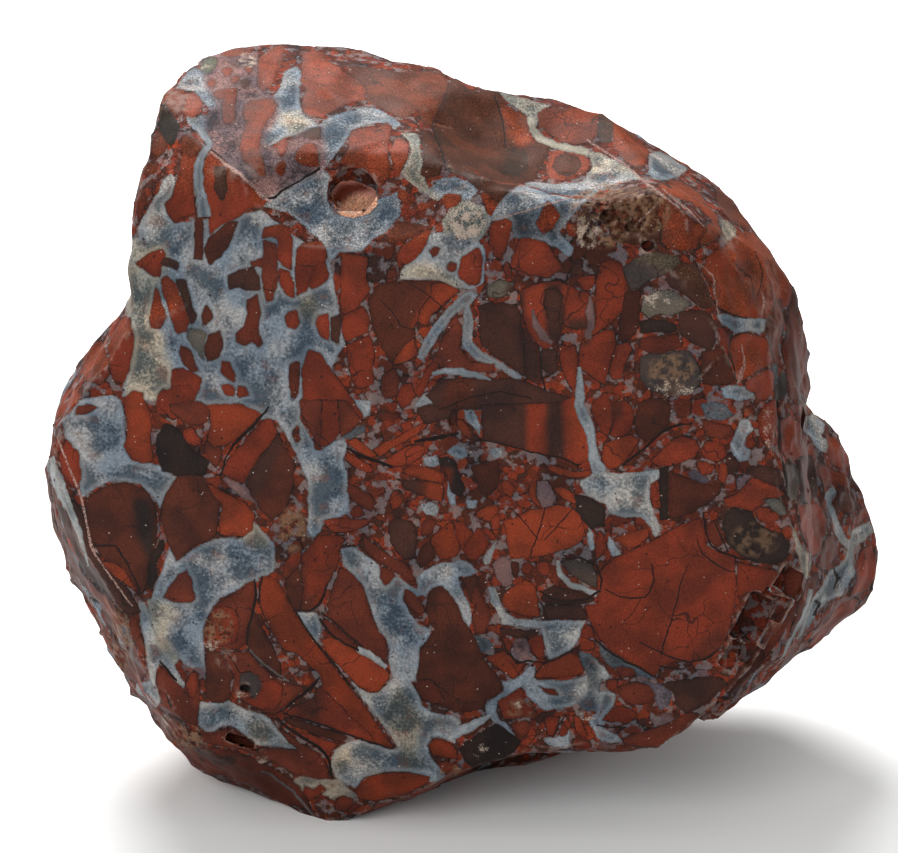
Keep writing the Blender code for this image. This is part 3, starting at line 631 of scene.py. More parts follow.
BOTTOM = [
    ("maroon", [(428, 600), (432, 588), (440, 586), (448, 592), (455, 602), (461, 615), (468, 628),
     (476, 640), (482, 655), (490, 668), (500, 680), (504, 688), (496, 696), (487, 701), (482, 710),
     (470, 712), (455, 712), (442, 706), (430, 702), (424, 692), (418, 684), (416, 678), (419, 665),
     (420, 650), (428, 640), (434, 630), (428, 622), (426, 612)]),
    ("brown", [(413, 683), (420, 680), (432, 680), (440, 690), (445, 702), (432, 704), (422, 698)]),
    ("brown", [(475, 584), (484, 600), (490, 610), (490, 622), (484, 634), (474, 632), (472, 618),
     (476, 606), (470, 600)]),
    ("dark", [(542, 606), (560, 606), (580, 605), (588, 618), (580, 620), (565, 619), (548, 620)]),
    ("red", [(582, 628), (590, 625), (595, 635), (588, 640), (580, 638)]),
    ("red", [(578, 642), (592, 640), (596, 648), (588, 651), (578, 649)]),
    ("dark", [(500, 628), (520, 630), (538, 631), (540, 635), (525, 638), (510, 637), (500, 634)]),
    ("red", [(500, 637), (508, 637), (512, 645), (509, 656), (503, 649)]),
    ("red", [(528, 641), (535, 635), (542, 635), (544, 648), (545, 658), (540, 660), (532, 652)]),
    ("bright", [(484, 658), (495, 654), (505, 650), (512, 656), (517, 664), (526, 663), (520, 672),
     (515, 680), (508, 676), (497, 668)]),
    ("bright", [(534, 678), (540, 668), (548, 662), (560, 656), (570, 652), (578, 656), (582, 665),
     (585, 672), (575, 676), (558, 678)]),
    ("red", [(538, 686), (545, 688), (555, 690), (558, 695), (550, 695), (542, 691)]),
    ("red", [(497, 702), (510, 694), (520, 688), (524, 692), (524, 702), (530, 706), (534, 712), (528, 718),
     (516, 720), (504, 720)]),
    ("brown", [(510, 723), (524, 721), (532, 724), (528, 734), (522, 738), (514, 732)]),
    ("red", [(544, 718), (552, 716), (560, 718), (557, 728), (554, 736), (548, 736)]),
    ("red", [(562, 724), (569, 719), (571, 726), (565, 736), (558, 736)]),
    ("red", [(573, 715), (580, 718), (584, 728), (588, 737), (582, 738), (576, 732)]),
    ("red", [(572, 738), (590, 743), (592, 749), (575, 751)]),
    ("maroon", [(462, 720), (475, 717), (484, 720), (490, 724), (482, 728), (473, 735), (465, 740),
     (460, 730)]),
    ("black", [(484, 730), (495, 724), (504, 728), (512, 734), (522, 742), (515, 752), (500, 762),
     (490, 768), (474, 770), (464, 762), (460, 750), (466, 742), (475, 737)]),
    ("bright", [(428, 745), (434, 739), (442, 739), (450, 743), (456, 750), (458, 760), (450, 759),
     (440, 757), (433, 756)]),
    ("red", [(436, 764), (445, 762), (456, 763), (462, 770), (464, 778), (450, 784), (446, 776)]),
    ("bright", [(354, 792), (362, 780), (372, 776), (390, 773), (405, 773), (420, 775), (430, 776),
     (428, 784), (415, 790), (400, 798), (385, 802), (370, 802), (358, 800)]),
    ("red", [(300, 796), (303, 788), (312, 790), (320, 785), (326, 790), (318, 797), (306, 803)]),
    ("brown", [(335, 802), (342, 796), (352, 800), (354, 806), (345, 812), (335, 810)]),
]
LOWER_LEFT = [
    ("brown", [(205, 625), (214, 606), (230, 596), (248, 582), (255, 580), (256, 600), (251, 622),
     (246, 645), (238, 650), (222, 650), (208, 648), (203, 634)]),
    ("red", [(212, 610), (222, 605), (235, 610), (240, 625), (236, 642), (222, 647), (210, 644),
     (206, 632)]),
    ("dark", [(255, 608), (258, 620), (266, 636), (274, 650), (280, 664), (281, 680), (270, 672),
     (258, 662), (248, 650), (247, 638), (250, 622)]),
    ("brown", [(248, 652), (258, 663), (270, 674), (283, 682), (296, 686), (306, 688), (296, 698),
     (284, 708), (274, 716), (262, 712), (250, 706), (240, 700), (232, 690), (234, 676), (226, 662),
     (222, 653), (238, 652)]),
    ("red", [(262, 682), (272, 678), (282, 686), (282, 700), (274, 711), (262, 710), (250, 705), (240, 699),
     (254, 698)]),
    ("maroon", [(206, 650), (220, 652), (228, 662), (236, 674), (231, 682), (229, 700), (222, 703),
     (212, 702), (205, 694), (206, 680)]),
    ("bright", [(259, 578), (268, 576), (276, 580), (284, 592), (294, 610), (305, 628), (318, 646),
     (330, 663), (345, 682), (360, 700), (374, 720), (386, 738), (396, 749), (388, 748), (370, 743),
     (350, 736), (328, 727), (310, 720), (318, 700), (322, 684), (318, 674), (308, 664), (296, 654),
     (284, 650), (276, 640), (268, 626), (260, 606)]),
    ("red", [(284, 714), (300, 704), (312, 698), (320, 686), (334, 700), (350, 716), (366, 730), (378, 744),
     (352, 737), (330, 728), (306, 720)]),
    ("maroon", [(283, 717), (300, 721), (325, 729), (350, 738), (342, 742), (320, 736), (300, 729),
     (288, 724)]),
    ("red", [(287, 728), (300, 731), (320, 738), (338, 744), (332, 751), (330, 758), (320, 748), (306, 741),
     (294, 735)]),
    ("brown", [(279, 724), (286, 733), (300, 744), (315, 752), (324, 760), (328, 770), (329, 779),
     (315, 779), (300, 776), (284, 772), (266, 764), (256, 750), (262, 748), (284, 752), (298, 754),
     (290, 744), (283, 735)]),
    ("brown", [(198, 734), (215, 734), (226, 728), (236, 729), (246, 737), (258, 748), (266, 762),
     (250, 755), (225, 748), (202, 742)]),
    ("brown", [(180, 744), (200, 744), (225, 751), (250, 759), (268, 769), (290, 780), (300, 792),
     (312, 812), (296, 806), (278, 800), (262, 795), (240, 785), (225, 776), (205, 775), (190, 765)]),
    ("dark", [(192, 749), (205, 749), (220, 756), (235, 761), (232, 769), (215, 766), (198, 759)]),
    ("bright", [(320, 640), (330, 637), (345, 644), (358, 651), (372, 660), (385, 668), (391, 676),
     (385, 684), (378, 692), (370, 692), (360, 688), (352, 680), (340, 668), (328, 655)]),
    ("brown", [(322, 618), (334, 624), (345, 634), (356, 644), (350, 646), (338, 641), (326, 634)]),
    ("grey", [(240, 674), (250, 672), (258, 675), (262, 684), (260, 693), (254, 698), (248, 692),
     (238, 682)]),
    ("black", [(240, 681), (247, 679), (253, 683), (253, 690), (247, 693), (240, 689)]),
]
LEFT_FLANK = [
    ("brown", [(157, 672), (164, 666), (174, 680), (184, 690), (187, 680), (193, 670), (199, 674),
     (200, 690), (199, 712), (196, 726), (184, 722), (170, 714), (160, 703), (156, 688)]),
    ("red", [(186, 684), (190, 673), (197, 672), (198, 688), (194, 700), (189, 696)]),
    ("brown", [(157, 716), (170, 719), (185, 728), (198, 738), (194, 746), (182, 742), (168, 742),
     (158, 734)]),
    ("brown", [(66, 548), (80, 572), (98, 592), (112, 606), (124, 622), (134, 650), (144, 672), (136, 684),
     (124, 676), (112, 656), (108, 632), (104, 616), (88, 602), (72, 580)]),
    ("brown", [(128, 612), (138, 620), (143, 640), (146, 660), (136, 648), (130, 630)]),
    ("red", [(78, 452), (66, 440), (58, 455), (62, 475), (74, 490), (82, 480)]),
    ("brown", [(48, 470), (58, 478), (66, 496), (60, 510), (50, 496)]),
]

# chalcedony between the fragments
POOLS = [
    ("blue", [(126, 250), (160, 225), (262, 210), (330, 262), (345, 345), (300, 420), (262, 420),
     (160, 400), (122, 398), (125, 300)]),
    ("cream", [(125, 240), (160, 232), (170, 262), (150, 300), (165, 340), (180, 400), (150, 402),
     (124, 396), (128, 340), (124, 290)]),
    ("blue", [(284, 70), (296, 64), (302, 70), (308, 76), (300, 86), (300, 100), (303, 112), (318, 122),
     (322, 130), (310, 128), (298, 134), (288, 136), (280, 140), (270, 146), (262, 146), (258, 138),
     (268, 128), (276, 118), (278, 104), (272, 96), (280, 86)]),
    ("cream", [(284, 112), (300, 110), (310, 122), (304, 130), (290, 132), (282, 124)]),
    ("blue", [(322, 120), (340, 112), (365, 106), (380, 108), (392, 116), (402, 124), (395, 130),
     (385, 122), (370, 124), (352, 130), (346, 140), (340, 148), (332, 160), (326, 165), (322, 150),
     (320, 135)]),
    ("cream", [(400, 132), (414, 132), (420, 135), (421, 150), (423, 165), (425, 180), (430, 188),
     (440, 198), (436, 201), (420, 190), (408, 182), (401, 172), (406, 162), (411, 150), (408, 140)]),
    ("mauve", [(200, 58), (222, 50), (258, 50), (263, 90), (276, 96), (279, 112), (264, 140), (275, 146),
     (300, 132), (322, 127), (329, 160), (322, 176), (296, 184), (270, 200), (248, 184), (215, 152),
     (206, 140), (200, 120), (208, 112), (214, 100), (204, 86)]),
    ("blue", [(176, 86), (182, 76), (194, 65), (202, 70), (204, 83), (210, 95), (215, 104), (208, 107),
     (200, 99), (194, 91), (186, 90)]),
    ("blue", [(186, 114), (194, 118), (203, 112), (206, 120), (203, 132), (196, 130), (188, 124)]),
    ("pale", [(163, 178), (172, 172), (176, 180), (172, 195), (164, 204), (168, 216), (175, 224),
     (160, 245), (140, 245), (136, 230), (146, 210), (158, 190)]),
    ("blue", [(262, 206), (268, 200), (285, 190), (300, 180), (322, 170), (330, 172), (328, 200),
     (334, 214), (360, 214), (375, 200), (400, 190), (400, 215), (385, 232), (372, 240), (362, 252),
     (340, 253), (330, 262), (325, 250), (318, 238), (300, 222), (288, 212)]),
    ("blue", [(440, 178), (456, 176), (466, 180), (480, 190), (470, 200), (440, 198), (430, 188)]),
    ("cream", [(440, 222), (452, 204), (468, 200), (484, 206), (492, 220), (482, 240), (466, 246),
     (448, 240)]),
    ("cream", [(498, 91), (512, 94), (528, 98), (552, 104), (541, 110), (537, 124), (530, 124), (524, 112),
     (510, 103)]),
    ("cream", [(588, 151), (600, 152), (616, 160), (632, 169), (643, 179), (620, 180), (600, 184),
     (580, 182), (592, 168)]),
    ("blue", [(488, 221), (498, 204), (504, 195), (519, 184), (534, 180), (556, 183), (567, 181),
     (580, 182), (606, 168), (634, 177), (597, 190), (584, 204), (571, 218), (560, 232), (574, 248),
     (570, 258), (556, 248), (534, 240), (514, 238), (508, 220)]),
    ("deep", [(511, 216), (530, 208), (552, 202), (566, 212), (560, 236), (540, 240), (520, 240),
     (511, 230)]),
    ("olive", [(608, 212), (620, 210), (630, 218), (624, 230), (612, 230)]),
    ("pale", [(650, 152), (660, 150), (675, 158), (690, 168), (680, 175), (668, 180), (655, 180),
     (648, 172)]),
    ("olive", [(720, 217), (728, 220), (738, 228), (736, 238), (728, 242), (722, 232)]),
    ("blue", [(718, 314), (728, 312), (742, 317), (755, 316), (769, 318), (768, 330), (762, 335),
     (750, 331), (738, 333), (728, 326)]),
    ("deep", [(773, 362), (780, 364), (781, 380), (776, 388), (772, 376)]),
    ("blue", [(720, 388), (738, 385), (754, 388), (756, 398), (740, 402), (722, 398)]),
    ("olive", [(300, 300), (315, 295), (318, 310), (312, 322), (303, 322), (298, 312)]),
    ("blue", [(400, 272), (408, 262), (420, 244), (432, 232), (450, 232), (478, 240), (486, 250),
     (484, 284), (470, 290), (455, 289), (440, 281), (402, 280)]),
    ("cream", [(400, 272), (408, 265), (425, 263), (440, 270), (460, 285), (455, 289), (440, 281),
     (400, 280)]),
    ("blue", [(411, 408), (418, 400), (428, 390), (432, 398), (440, 402), (450, 404), (455, 408)]),
    ("blue", [(472, 290), (478, 296), (470, 306), (474, 322), (472, 340), (482, 352), (500, 362),
     (522, 376), (520, 382), (496, 368), (474, 360), (462, 346), (462, 330), (464, 308), (452, 318),
     (440, 334), (430, 352), (422, 362), (416, 356), (424, 340), (434, 324), (448, 308), (462, 294)]),
    ("blue", [(60, 420), (75, 400), (110, 395), (122, 400), (126, 440), (130, 460), (160, 465), (178, 478),
     (165, 495), (160, 510), (155, 500), (140, 485), (110, 482), (90, 492), (82, 500), (75, 470),
     (66, 440)]),
    ("blue", [(178, 560), (200, 545), (220, 538), (245, 538), (262, 530), (275, 545), (275, 570),
     (262, 580), (240, 590), (220, 598), (210, 612), (203, 630), (205, 668), (188, 668), (164, 642),
     (148, 610), (152, 595), (165, 560), (170, 545)]),
    ("cream", [(250, 522), (258, 525), (265, 535), (268, 548), (258, 550), (245, 545), (243, 537)]),
    ("blue", [(268, 410), (275, 400), (290, 402), (298, 412), (302, 424), (310, 435), (316, 450),
     (320, 452), (330, 442), (345, 438), (348, 448), (343, 460), (348, 475), (349, 500), (350, 512),
     (340, 518), (325, 520), (320, 532), (312, 540), (307, 530), (308, 510), (307, 480), (300, 465),
     (296, 455), (288, 440), (280, 425)]),
    ("blue", [(346, 400), (372, 400), (370, 415), (362, 420)]),
    ("deep", [(340, 438), (352, 430), (364, 424), (366, 432), (350, 440)]),
    ("blue", [(340, 548), (355, 547), (365, 555), (380, 565), (381, 578), (386, 584), (393, 577),
     (400, 577), (410, 586), (425, 592), (415, 600), (405, 592), (403, 600), (410, 614), (420, 626),
     (432, 630), (428, 640), (420, 648), (419, 665), (418, 680), (404, 684), (392, 676), (388, 662),
     (389, 650), (386, 640), (376, 626), (371, 612), (366, 595), (355, 578), (343, 566)]),
    ("pale", [(462, 405), (468, 402), (474, 410), (480, 425), (481, 438), (475, 430), (466, 420)]),
    ("pale", [(578, 482), (590, 475), (600, 465), (606, 472), (620, 474), (640, 472), (660, 470),
     (660, 478), (652, 485), (650, 500), (655, 515), (662, 530), (655, 538), (648, 525), (640, 518),
     (625, 518), (610, 514), (605, 505), (595, 500), (585, 495)]),
    ("blue", [(425, 458), (437, 455), (440, 465), (430, 468), (423, 464)]),
    ("blue", [(445, 452), (455, 445), (465, 448), (468, 456), (460, 460), (450, 456)]),
    ("blue", [(488, 452), (495, 446), (503, 450), (502, 457), (494, 459)]),
    ("blue", [(465, 500), (478, 500), (475, 510), (468, 508)]),
    ("blue", [(420, 505), (432, 502), (440, 508), (436, 518), (425, 515)]),
    ("blue", [(447, 480), (455, 480), (456, 505), (448, 505)]),
    ("pale", [(607, 533), (613, 540), (620, 552), (622, 555), (613, 557), (608, 548)]),
    ("pale", [(588, 525), (594, 535), (595, 550), (590, 552), (586, 540)]),
    ("blue", [(416, 578), (425, 570), (440, 563), (455, 562), (462, 560), (470, 563), (478, 572),
     (470, 577), (458, 578), (462, 590), (470, 604), (472, 622), (466, 634), (459, 620), (452, 602),
     (442, 586), (430, 590), (425, 598), (418, 592)]),
    ("pale", [(482, 560), (488, 550), (498, 540), (494, 552), (490, 565), (484, 566)]),
    ("deep", [(468, 634), (478, 636), (490, 640), (494, 646), (488, 652), (480, 654), (475, 648)]),
    ("pale", [(490, 588), (496, 588), (500, 600), (505, 612), (515, 618), (530, 620), (545, 621),
     (560, 620), (575, 621), (586, 620), (583, 628), (580, 638), (575, 647), (568, 652), (555, 659),
     (548, 660), (545, 650), (543, 638), (540, 630), (528, 628), (512, 626), (502, 625), (497, 612),
     (490, 602)]),
    ("pink", [(512, 640), (525, 638), (530, 645), (530, 655), (538, 660), (530, 664), (520, 662),
     (514, 652)]),
    ("pale", [(524, 684), (532, 668), (536, 664), (534, 680), (558, 681), (575, 679), (588, 674),
     (590, 690), (582, 702), (570, 708), (555, 710), (545, 712), (535, 704), (526, 696)]),
    ("blue", [(500, 680), (508, 682), (520, 676), (530, 666), (534, 668), (528, 682), (520, 688),
     (508, 696), (498, 702), (496, 712), (500, 722), (494, 724), (486, 714), (485, 704), (492, 699),
     (504, 692)]),
    ("deep", [(578, 652), (590, 653), (598, 660), (603, 668), (601, 680), (599, 695), (597, 712),
     (584, 712), (577, 702), (588, 690), (590, 678), (582, 666)]),
    ("pale", [(597, 662), (604, 666), (610, 676), (608, 680), (600, 680)]),
    ("blue", [(598, 692), (608, 690), (616, 694), (614, 705), (610, 714), (602, 728), (618, 735),
     (622, 742), (612, 744), (598, 740), (588, 722), (597, 712)]),
    ("deep", [(596, 640), (605, 648), (618, 656), (632, 664), (645, 672), (655, 680), (640, 676),
     (625, 672), (612, 668), (602, 658)]),
    ("violet", [(640, 680), (655, 684), (668, 684), (672, 692), (670, 705), (660, 712), (655, 700),
     (652, 690)]),
    ("blue", [(540, 738), (555, 738), (565, 732), (570, 728), (570, 740), (568, 750), (555, 748),
     (545, 744)]),
    ("blue", [(496, 722), (506, 722), (512, 732), (520, 740), (508, 738), (500, 732)]),
    ("pale", [(294, 612), (302, 611), (312, 611), (318, 614), (320, 622), (322, 632), (317, 645),
     (310, 636), (302, 626)]),
    ("pale", [(352, 682), (362, 690), (370, 693), (378, 693), (386, 685), (394, 677), (402, 682),
     (412, 684), (418, 694), (422, 705), (432, 712), (445, 714), (455, 716), (462, 722), (458, 732),
     (455, 745), (450, 742), (440, 737), (432, 738), (427, 746), (430, 756), (436, 763), (444, 770),
     (448, 780), (440, 784), (425, 782), (420, 775), (405, 772), (390, 772), (375, 775), (365, 778),
     (356, 790), (345, 785), (335, 778), (330, 768), (331, 758), (335, 750), (342, 744), (352, 741),
     (362, 739), (376, 745), (392, 750), (398, 748), (392, 738), (382, 725), (372, 712), (362, 700)]),
    ("olive", [(388, 704), (398, 690), (410, 698), (420, 715), (424, 726), (420, 740), (418, 755),
     (425, 766), (412, 770), (400, 768), (398, 750), (392, 735), (380, 718)]),
    ("deep", [(422, 722), (432, 716), (445, 716), (457, 722), (457, 731), (448, 728), (436, 729),
     (427, 738), (423, 750), (430, 760), (424, 762), (419, 748), (419, 735)]),
    ("cream", [(331, 758), (340, 746), (350, 746), (352, 760), (344, 774), (334, 776)]),
    ("olive", [(290, 784), (298, 778), (312, 777), (328, 779), (340, 780), (352, 792), (360, 797),
     (352, 800), (340, 798), (330, 800), (322, 795), (310, 790), (300, 796)]),
    ("pale", [(198, 702), (215, 703), (228, 700), (238, 706), (250, 711), (262, 714), (270, 720),
     (278, 730), (288, 742), (298, 753), (285, 751), (272, 748), (258, 746), (250, 741), (242, 734),
     (232, 726), (222, 727), (214, 732), (205, 733), (198, 724)]),
    ("olive", [(247, 726), (258, 721), (270, 725), (273, 738), (262, 744), (250, 738)]),
    ("pale", [(138, 600), (146, 604), (152, 625), (158, 640), (168, 655), (176, 668), (184, 682),
     (187, 690), (180, 688), (170, 677), (160, 663), (155, 676), (156, 690), (160, 702), (156, 708),
     (146, 702), (134, 690), (136, 682), (144, 684), (148, 676), (146, 660), (144, 640), (140, 622)]),
    ("cream", [(146, 600), (158, 598), (170, 604), (178, 612), (170, 625), (166, 640), (174, 650),
     (180, 664), (172, 664), (160, 646), (152, 628)]),
    ("pale", [(806, 418), (814, 411), (820, 418), (826, 424), (823, 436), (830, 440), (829, 452),
     (820, 450), (812, 438), (804, 428)]),
    ("pale", [(826, 494), (836, 485), (838, 492), (833, 500), (837, 510), (843, 522), (848, 536),
     (853, 542), (850, 552), (842, 542), (837, 528), (831, 514)]),
    ("pale", [(854, 530), (862, 525), (875, 520), (876, 530), (868, 540), (859, 546), (855, 562),
     (856, 572), (850, 586), (844, 597), (830, 602), (818, 620), (808, 630), (806, 620), (814, 604),
     (824, 586), (828, 575), (838, 568), (846, 558), (850, 546)]),
    ("olive", [(790, 520), (797, 528), (806, 548), (816, 562), (812, 580), (802, 578), (800, 556),
     (794, 540)]),
    ("blue", [(730, 446), (740, 420), (750, 420), (754, 430), (746, 438), (745, 446), (752, 452),
     (748, 461), (740, 462), (733, 456)]),
    ("violet", [(686, 472), (695, 470), (703, 475), (711, 482), (702, 485), (693, 481)]),
    ("deep", [(700, 404), (716, 402), (728, 406), (734, 416), (722, 422), (706, 418)]),
]

# veins, pale ridges that are partly scuffed and partly painted highlight, and open seams: each point has a
# half width too
VEINS = [
    ("blue", [(197, 124, 4), (204, 134, 4), (210, 143, 3.5), (204, 151, 4), (199, 160, 4), (198, 175, 5),
     (199, 190, 5), (203, 205, 6), (204, 216, 7)]),
    ("cream", [(531, 116, 4), (533, 128, 4), (541, 138, 4), (556, 144, 4), (572, 148, 4), (588, 151, 4)]),
    ("scuffed_and_highlit", [(211, 151, 0.8), (225, 163, 1.6), (238, 172, 2.4), (250, 184, 1.4), (262, 196, 2.2),
     (272, 201, 0.8)]),
    ("scuffed_and_highlit", [(587, 139, 0.8), (598, 146, 1.6), (610, 154, 1), (624, 163, 1.4), (641, 178, 1.2),
     (660, 191, 1.6), (680, 208, 0.6)]),
    ("scuffed_and_highlit", [(660, 200, 0.6), (650, 211, 1.2), (641, 219, 0.8), (632, 229, 0.6)]),
    ("scuffed_and_highlit", [(484, 222, 0.5), (520, 212, 0.8), (552, 202, 0.7), (597, 187, 0.9), (632, 179, 0.5)]),
    ("scuffed_and_highlit", [(56, 436, 0.8), (70, 470, 1.4), (80, 495, 1.4), (86, 520, 0.9), (91, 548, 1.4),
     (104, 568, 0.9), (118, 588, 1.2), (132, 606, 0.7)]),
    ("scuffed_and_highlit", [(663, 188, 0.5), (680, 202, 1.4), (694, 214, 0.8), (704, 226, 0.5)]),
    ("scuffed_and_highlit", [(764, 290, 0.4), (766, 302, 1.6), (765, 314, 0.6)]),
    ("scuffed_and_highlit", [(744, 345, 0.6), (746, 362, 1.2), (742, 376, 2.4), (738, 384, 0.6)]),
    ("scuffed_and_highlit", [(700, 262, 0.6), (714, 274, 1.2), (716, 296, 0.8), (722, 312, 0.5)]),
    ("pink", [(532, 310, 1), (536, 325, 4), (545, 338, 4), (552, 343, 2)]),
    ("pink", [(590, 297, 1), (590, 310, 4), (591, 325, 4), (588, 338, 4)]),
    ("blue", [(433, 374, 2), (445, 371, 3), (460, 372, 4), (478, 376, 3), (490, 380, 1)]),
    ("blue", [(579, 368, 2), (580, 385, 4), (579, 405, 5), (584, 417, 6), (590, 430, 5), (592, 445, 4),
     (594, 460, 6), (600, 472, 8)]),
    ("pink", [(224, 479, 1.5), (235, 487, 5), (246, 496, 4), (256, 504, 1)]),
    ("pale", [(558, 562, 2), (560, 575, 3), (570, 585, 3), (585, 590, 3), (596, 595, 3)]),
    ("blue", [(490, 588, 2), (494, 598, 3), (498, 606, 3)]),
    ("blue", [(452, 736, 5), (466, 729, 5), (480, 722, 4), (490, 716, 2)]),
    ("pale", [(358, 650, 3), (368, 654, 4), (378, 661, 3), (386, 668, 2)]),
    ("grey", [(262, 772, 0.6), (276, 779, 1), (290, 791, 1.4), (303, 804, 1.2), (313, 815, 0.7)]),
    ("pale", [(800, 640, 2), (812, 612, 3), (822, 594, 3), (832, 578, 3)]),
    ("pale", [(782, 660, 1), (796, 634, 2), (808, 610, 3), (813, 590, 2)]),
    ("pink", [(812, 640, 1), (830, 616, 2), (848, 600, 2), (862, 594, 1)]),
    ("grey", [(124, 618, 0.7), (127, 632, 1.4), (129, 650, 1.4), (132, 668, 0.7)]),
    ("pale", [(48, 458, 5), (58, 486, 7), (68, 508, 5), (78, 532, 4), (84, 552, 2), (87, 568, 0.7)]),
    ("grey", [(250, 650, 1), (262, 663, 1), (275, 672, 1), (288, 682, 1)]),
]
SEAMS = [
    [(262, 198, 0.9), (275, 197, 1.3), (282, 190, 1.3), (300, 180, 0.9), (320, 168, 1.3)],
    [(268, 408, 0.9), (257, 422, 1.8), (245, 434, 1.8), (232, 446, 1.3), (225, 460, 0.9), (221, 475, 0.9)],
    [(347, 449, 1.3), (358, 455, 1.8), (370, 460, 1.8), (382, 464, 1.8), (392, 468, 1.3)],
    [(254, 580, 0.9), (256, 595, 1.3), (253, 610, 1.3), (248, 630, 1.3), (247, 645, 0.9)],
    [(262, 577, 0.9), (260, 590, 0.9), (258, 604, 0.9)],
    [(415, 442, 1.3), (430, 440, 2.2), (445, 437, 1.8), (458, 434, 1.3)],
    [(652, 565, 0.7), (654, 580, 0.8), (650, 592, 0.8), (645, 598, 0.8), (632, 599, 0.8), (618, 597, 0.7),
     (606, 590, 0.7)],
    [(688, 565, 0.5), (680, 585, 0.7), (676, 605, 0.7), (670, 625, 0.8), (665, 640, 0.8), (661, 655, 0.7)],
    [(640, 643, 0.7), (655, 650, 0.8), (672, 658, 0.8), (690, 663, 0.8), (706, 659, 0.8), (718, 650, 0.6)],
    [(697, 540, 0.6), (702, 553, 0.8), (715, 564, 0.8), (730, 572, 0.7), (735, 572, 0.5)],
    [(661, 667, 0.8), (672, 669, 0.8), (682, 670, 0.8), (692, 665, 0.6)],
    [(624, 622, 0.4), (634, 612, 0.5), (640, 600, 0.4)],
    [(282, 712, 0.9), (293, 702, 1.3), (305, 694, 1.8), (314, 686, 2.2), (319, 679, 0.9)],
    [(276, 718, 0.9), (285, 727, 1.3), (300, 737, 1.8), (315, 746, 1.8), (325, 754, 1.8), (330, 764, 1.3),
     (331, 778, 1.3)],
    [(327, 585, 0.9), (323, 597, 1.3), (318, 606, 1.3), (310, 611, 0.9), (294, 611, 0.9)],
    [(320, 620, 1.3), (330, 634, 1.3), (345, 645, 0.9), (358, 651, 1.3)],
    [(322, 613, 0.8), (335, 623, 0.8), (348, 635, 0.8), (362, 647, 0.9)],
    [(296, 612, 0.9), (305, 628, 0.9), (320, 648, 1), (335, 666, 1), (345, 680, 1), (354, 690, 0.9)],
    [(283, 714, 0.9), (305, 720, 1.3), (328, 727, 1), (350, 736, 1), (372, 743, 1.3), (384, 747, 0.9)],
    [(222, 649, 0.7), (232, 660, 0.7), (240, 674, 0.7), (248, 672, 0.5)],
    [(600, 590, 0.9), (602, 580, 1.1), (596, 566, 1.1), (580, 558, 0.9), (562, 560, 0.9)],
    [(540, 592, 0.9), (552, 600, 1.1), (570, 602, 1), (586, 600, 1.3), (600, 592, 1.3)],
    [(540, 602, 0.9), (545, 612, 0.9), (547, 619, 0.9)],
    [(596, 640, 0.9), (606, 650, 1.1), (625, 662, 1.1), (640, 668, 0.9), (656, 678, 0.7)],
    [(622, 466, 0.9), (636, 456, 1.3), (648, 446, 1.3), (660, 434, 1.3), (672, 427, 1.3), (692, 424, 0.9)],
    [(703, 516, 0.8), (706, 532, 0.8), (710, 546, 0.9), (722, 553, 1), (738, 558, 0.9), (752, 561, 0.9)],
    [(715, 522, 0.7), (722, 540, 0.8), (728, 552, 0.8)],
    [(597, 726, 0.8), (612, 728, 0.9), (626, 728, 0.8)],
    [(670, 740, 0.6), (684, 730, 0.8), (700, 718, 0.6)],
    [(430, 680, 0.5), (440, 688, 0.7), (448, 694, 0.5)],
    [(516, 664, 0.9), (530, 661, 0.9), (544, 664, 1), (556, 660, 0.9), (570, 652, 0.9), (580, 646, 0.8)],
    [(502, 638, 0.8), (506, 650, 0.9), (514, 660, 0.9), (518, 664, 0.9)],
    [(554, 736, 0.8), (558, 726, 0.8), (566, 716, 0.7)],
    [(562, 722, 0.6), (568, 730, 0.6)],
    [(478, 440, 0.8), (500, 444, 0.8), (527, 451, 0.9), (546, 456, 0.9), (564, 459, 0.9), (578, 466, 0.8)],
    [(440, 410, 0.7), (470, 398, 0.8), (500, 392, 0.8), (530, 398, 0.8)],
    [(540, 352, 0.8), (541, 372, 0.8), (545, 390, 0.8)],
    [(510, 508, 0.6), (524, 522, 0.7), (538, 540, 0.6)],
    [(545, 508, 0.6), (540, 528, 0.7), (530, 556, 0.6)],
    [(572, 510, 0.6), (560, 524, 0.7), (545, 540, 0.6)],
    [(445, 310, 0.6), (430, 297, 0.6), (410, 284, 0.5)],
    [(380, 300, 0.5), (392, 312, 0.6), (400, 326, 0.6), (414, 330, 0.6)],
    [(780, 400, 0.9), (782, 430, 0.9), (786, 460, 0.9), (789, 500, 0.9), (795, 530, 0.8)],
    # this seam is painted shadow along the overhanging edge of a step
    [(92, 546, 0.9), (115, 546, 1), (126, 562, 0.9), (140, 590, 0.9)],
    [(110, 575, 1.1), (118, 588, 1.1), (124, 600, 0.9)],
    [(112, 606, 0.9), (120, 614, 1.3), (127, 621, 0.9)],
    [(90, 598, 0.9), (104, 611, 1.1)],
    [(160, 662, 0.9), (168, 671, 1.3), (176, 681, 0.9)],
    [(163, 694, 0.9), (167, 702, 1.1), (170, 708, 0.9)],
    [(204, 142, 0.7), (214, 150, 0.8), (222, 158, 0.8)],
    [(432, 127, 0.8), (440, 142, 0.8), (444, 158, 0.8), (449, 169, 0.8)],
    [(495, 96, 0.6), (503, 120, 0.7), (506, 146, 0.7)],
    [(716, 302, 0.8), (728, 312, 0.9), (748, 318, 0.8)],
    [(735, 335, 0.8), (732, 356, 0.9), (737, 380, 0.8)],
    [(756, 252, 0.5), (764, 272, 0.6), (760, 296, 0.5)],
    [(738, 262, 0.5), (752, 276, 0.5), (757, 300, 0.5)],
    [(838, 568, 0.9), (842, 578, 1.3), (838, 590, 0.9)],
    [(816, 600, 1.3), (824, 606, 1.8), (818, 618, 1.3)],
]
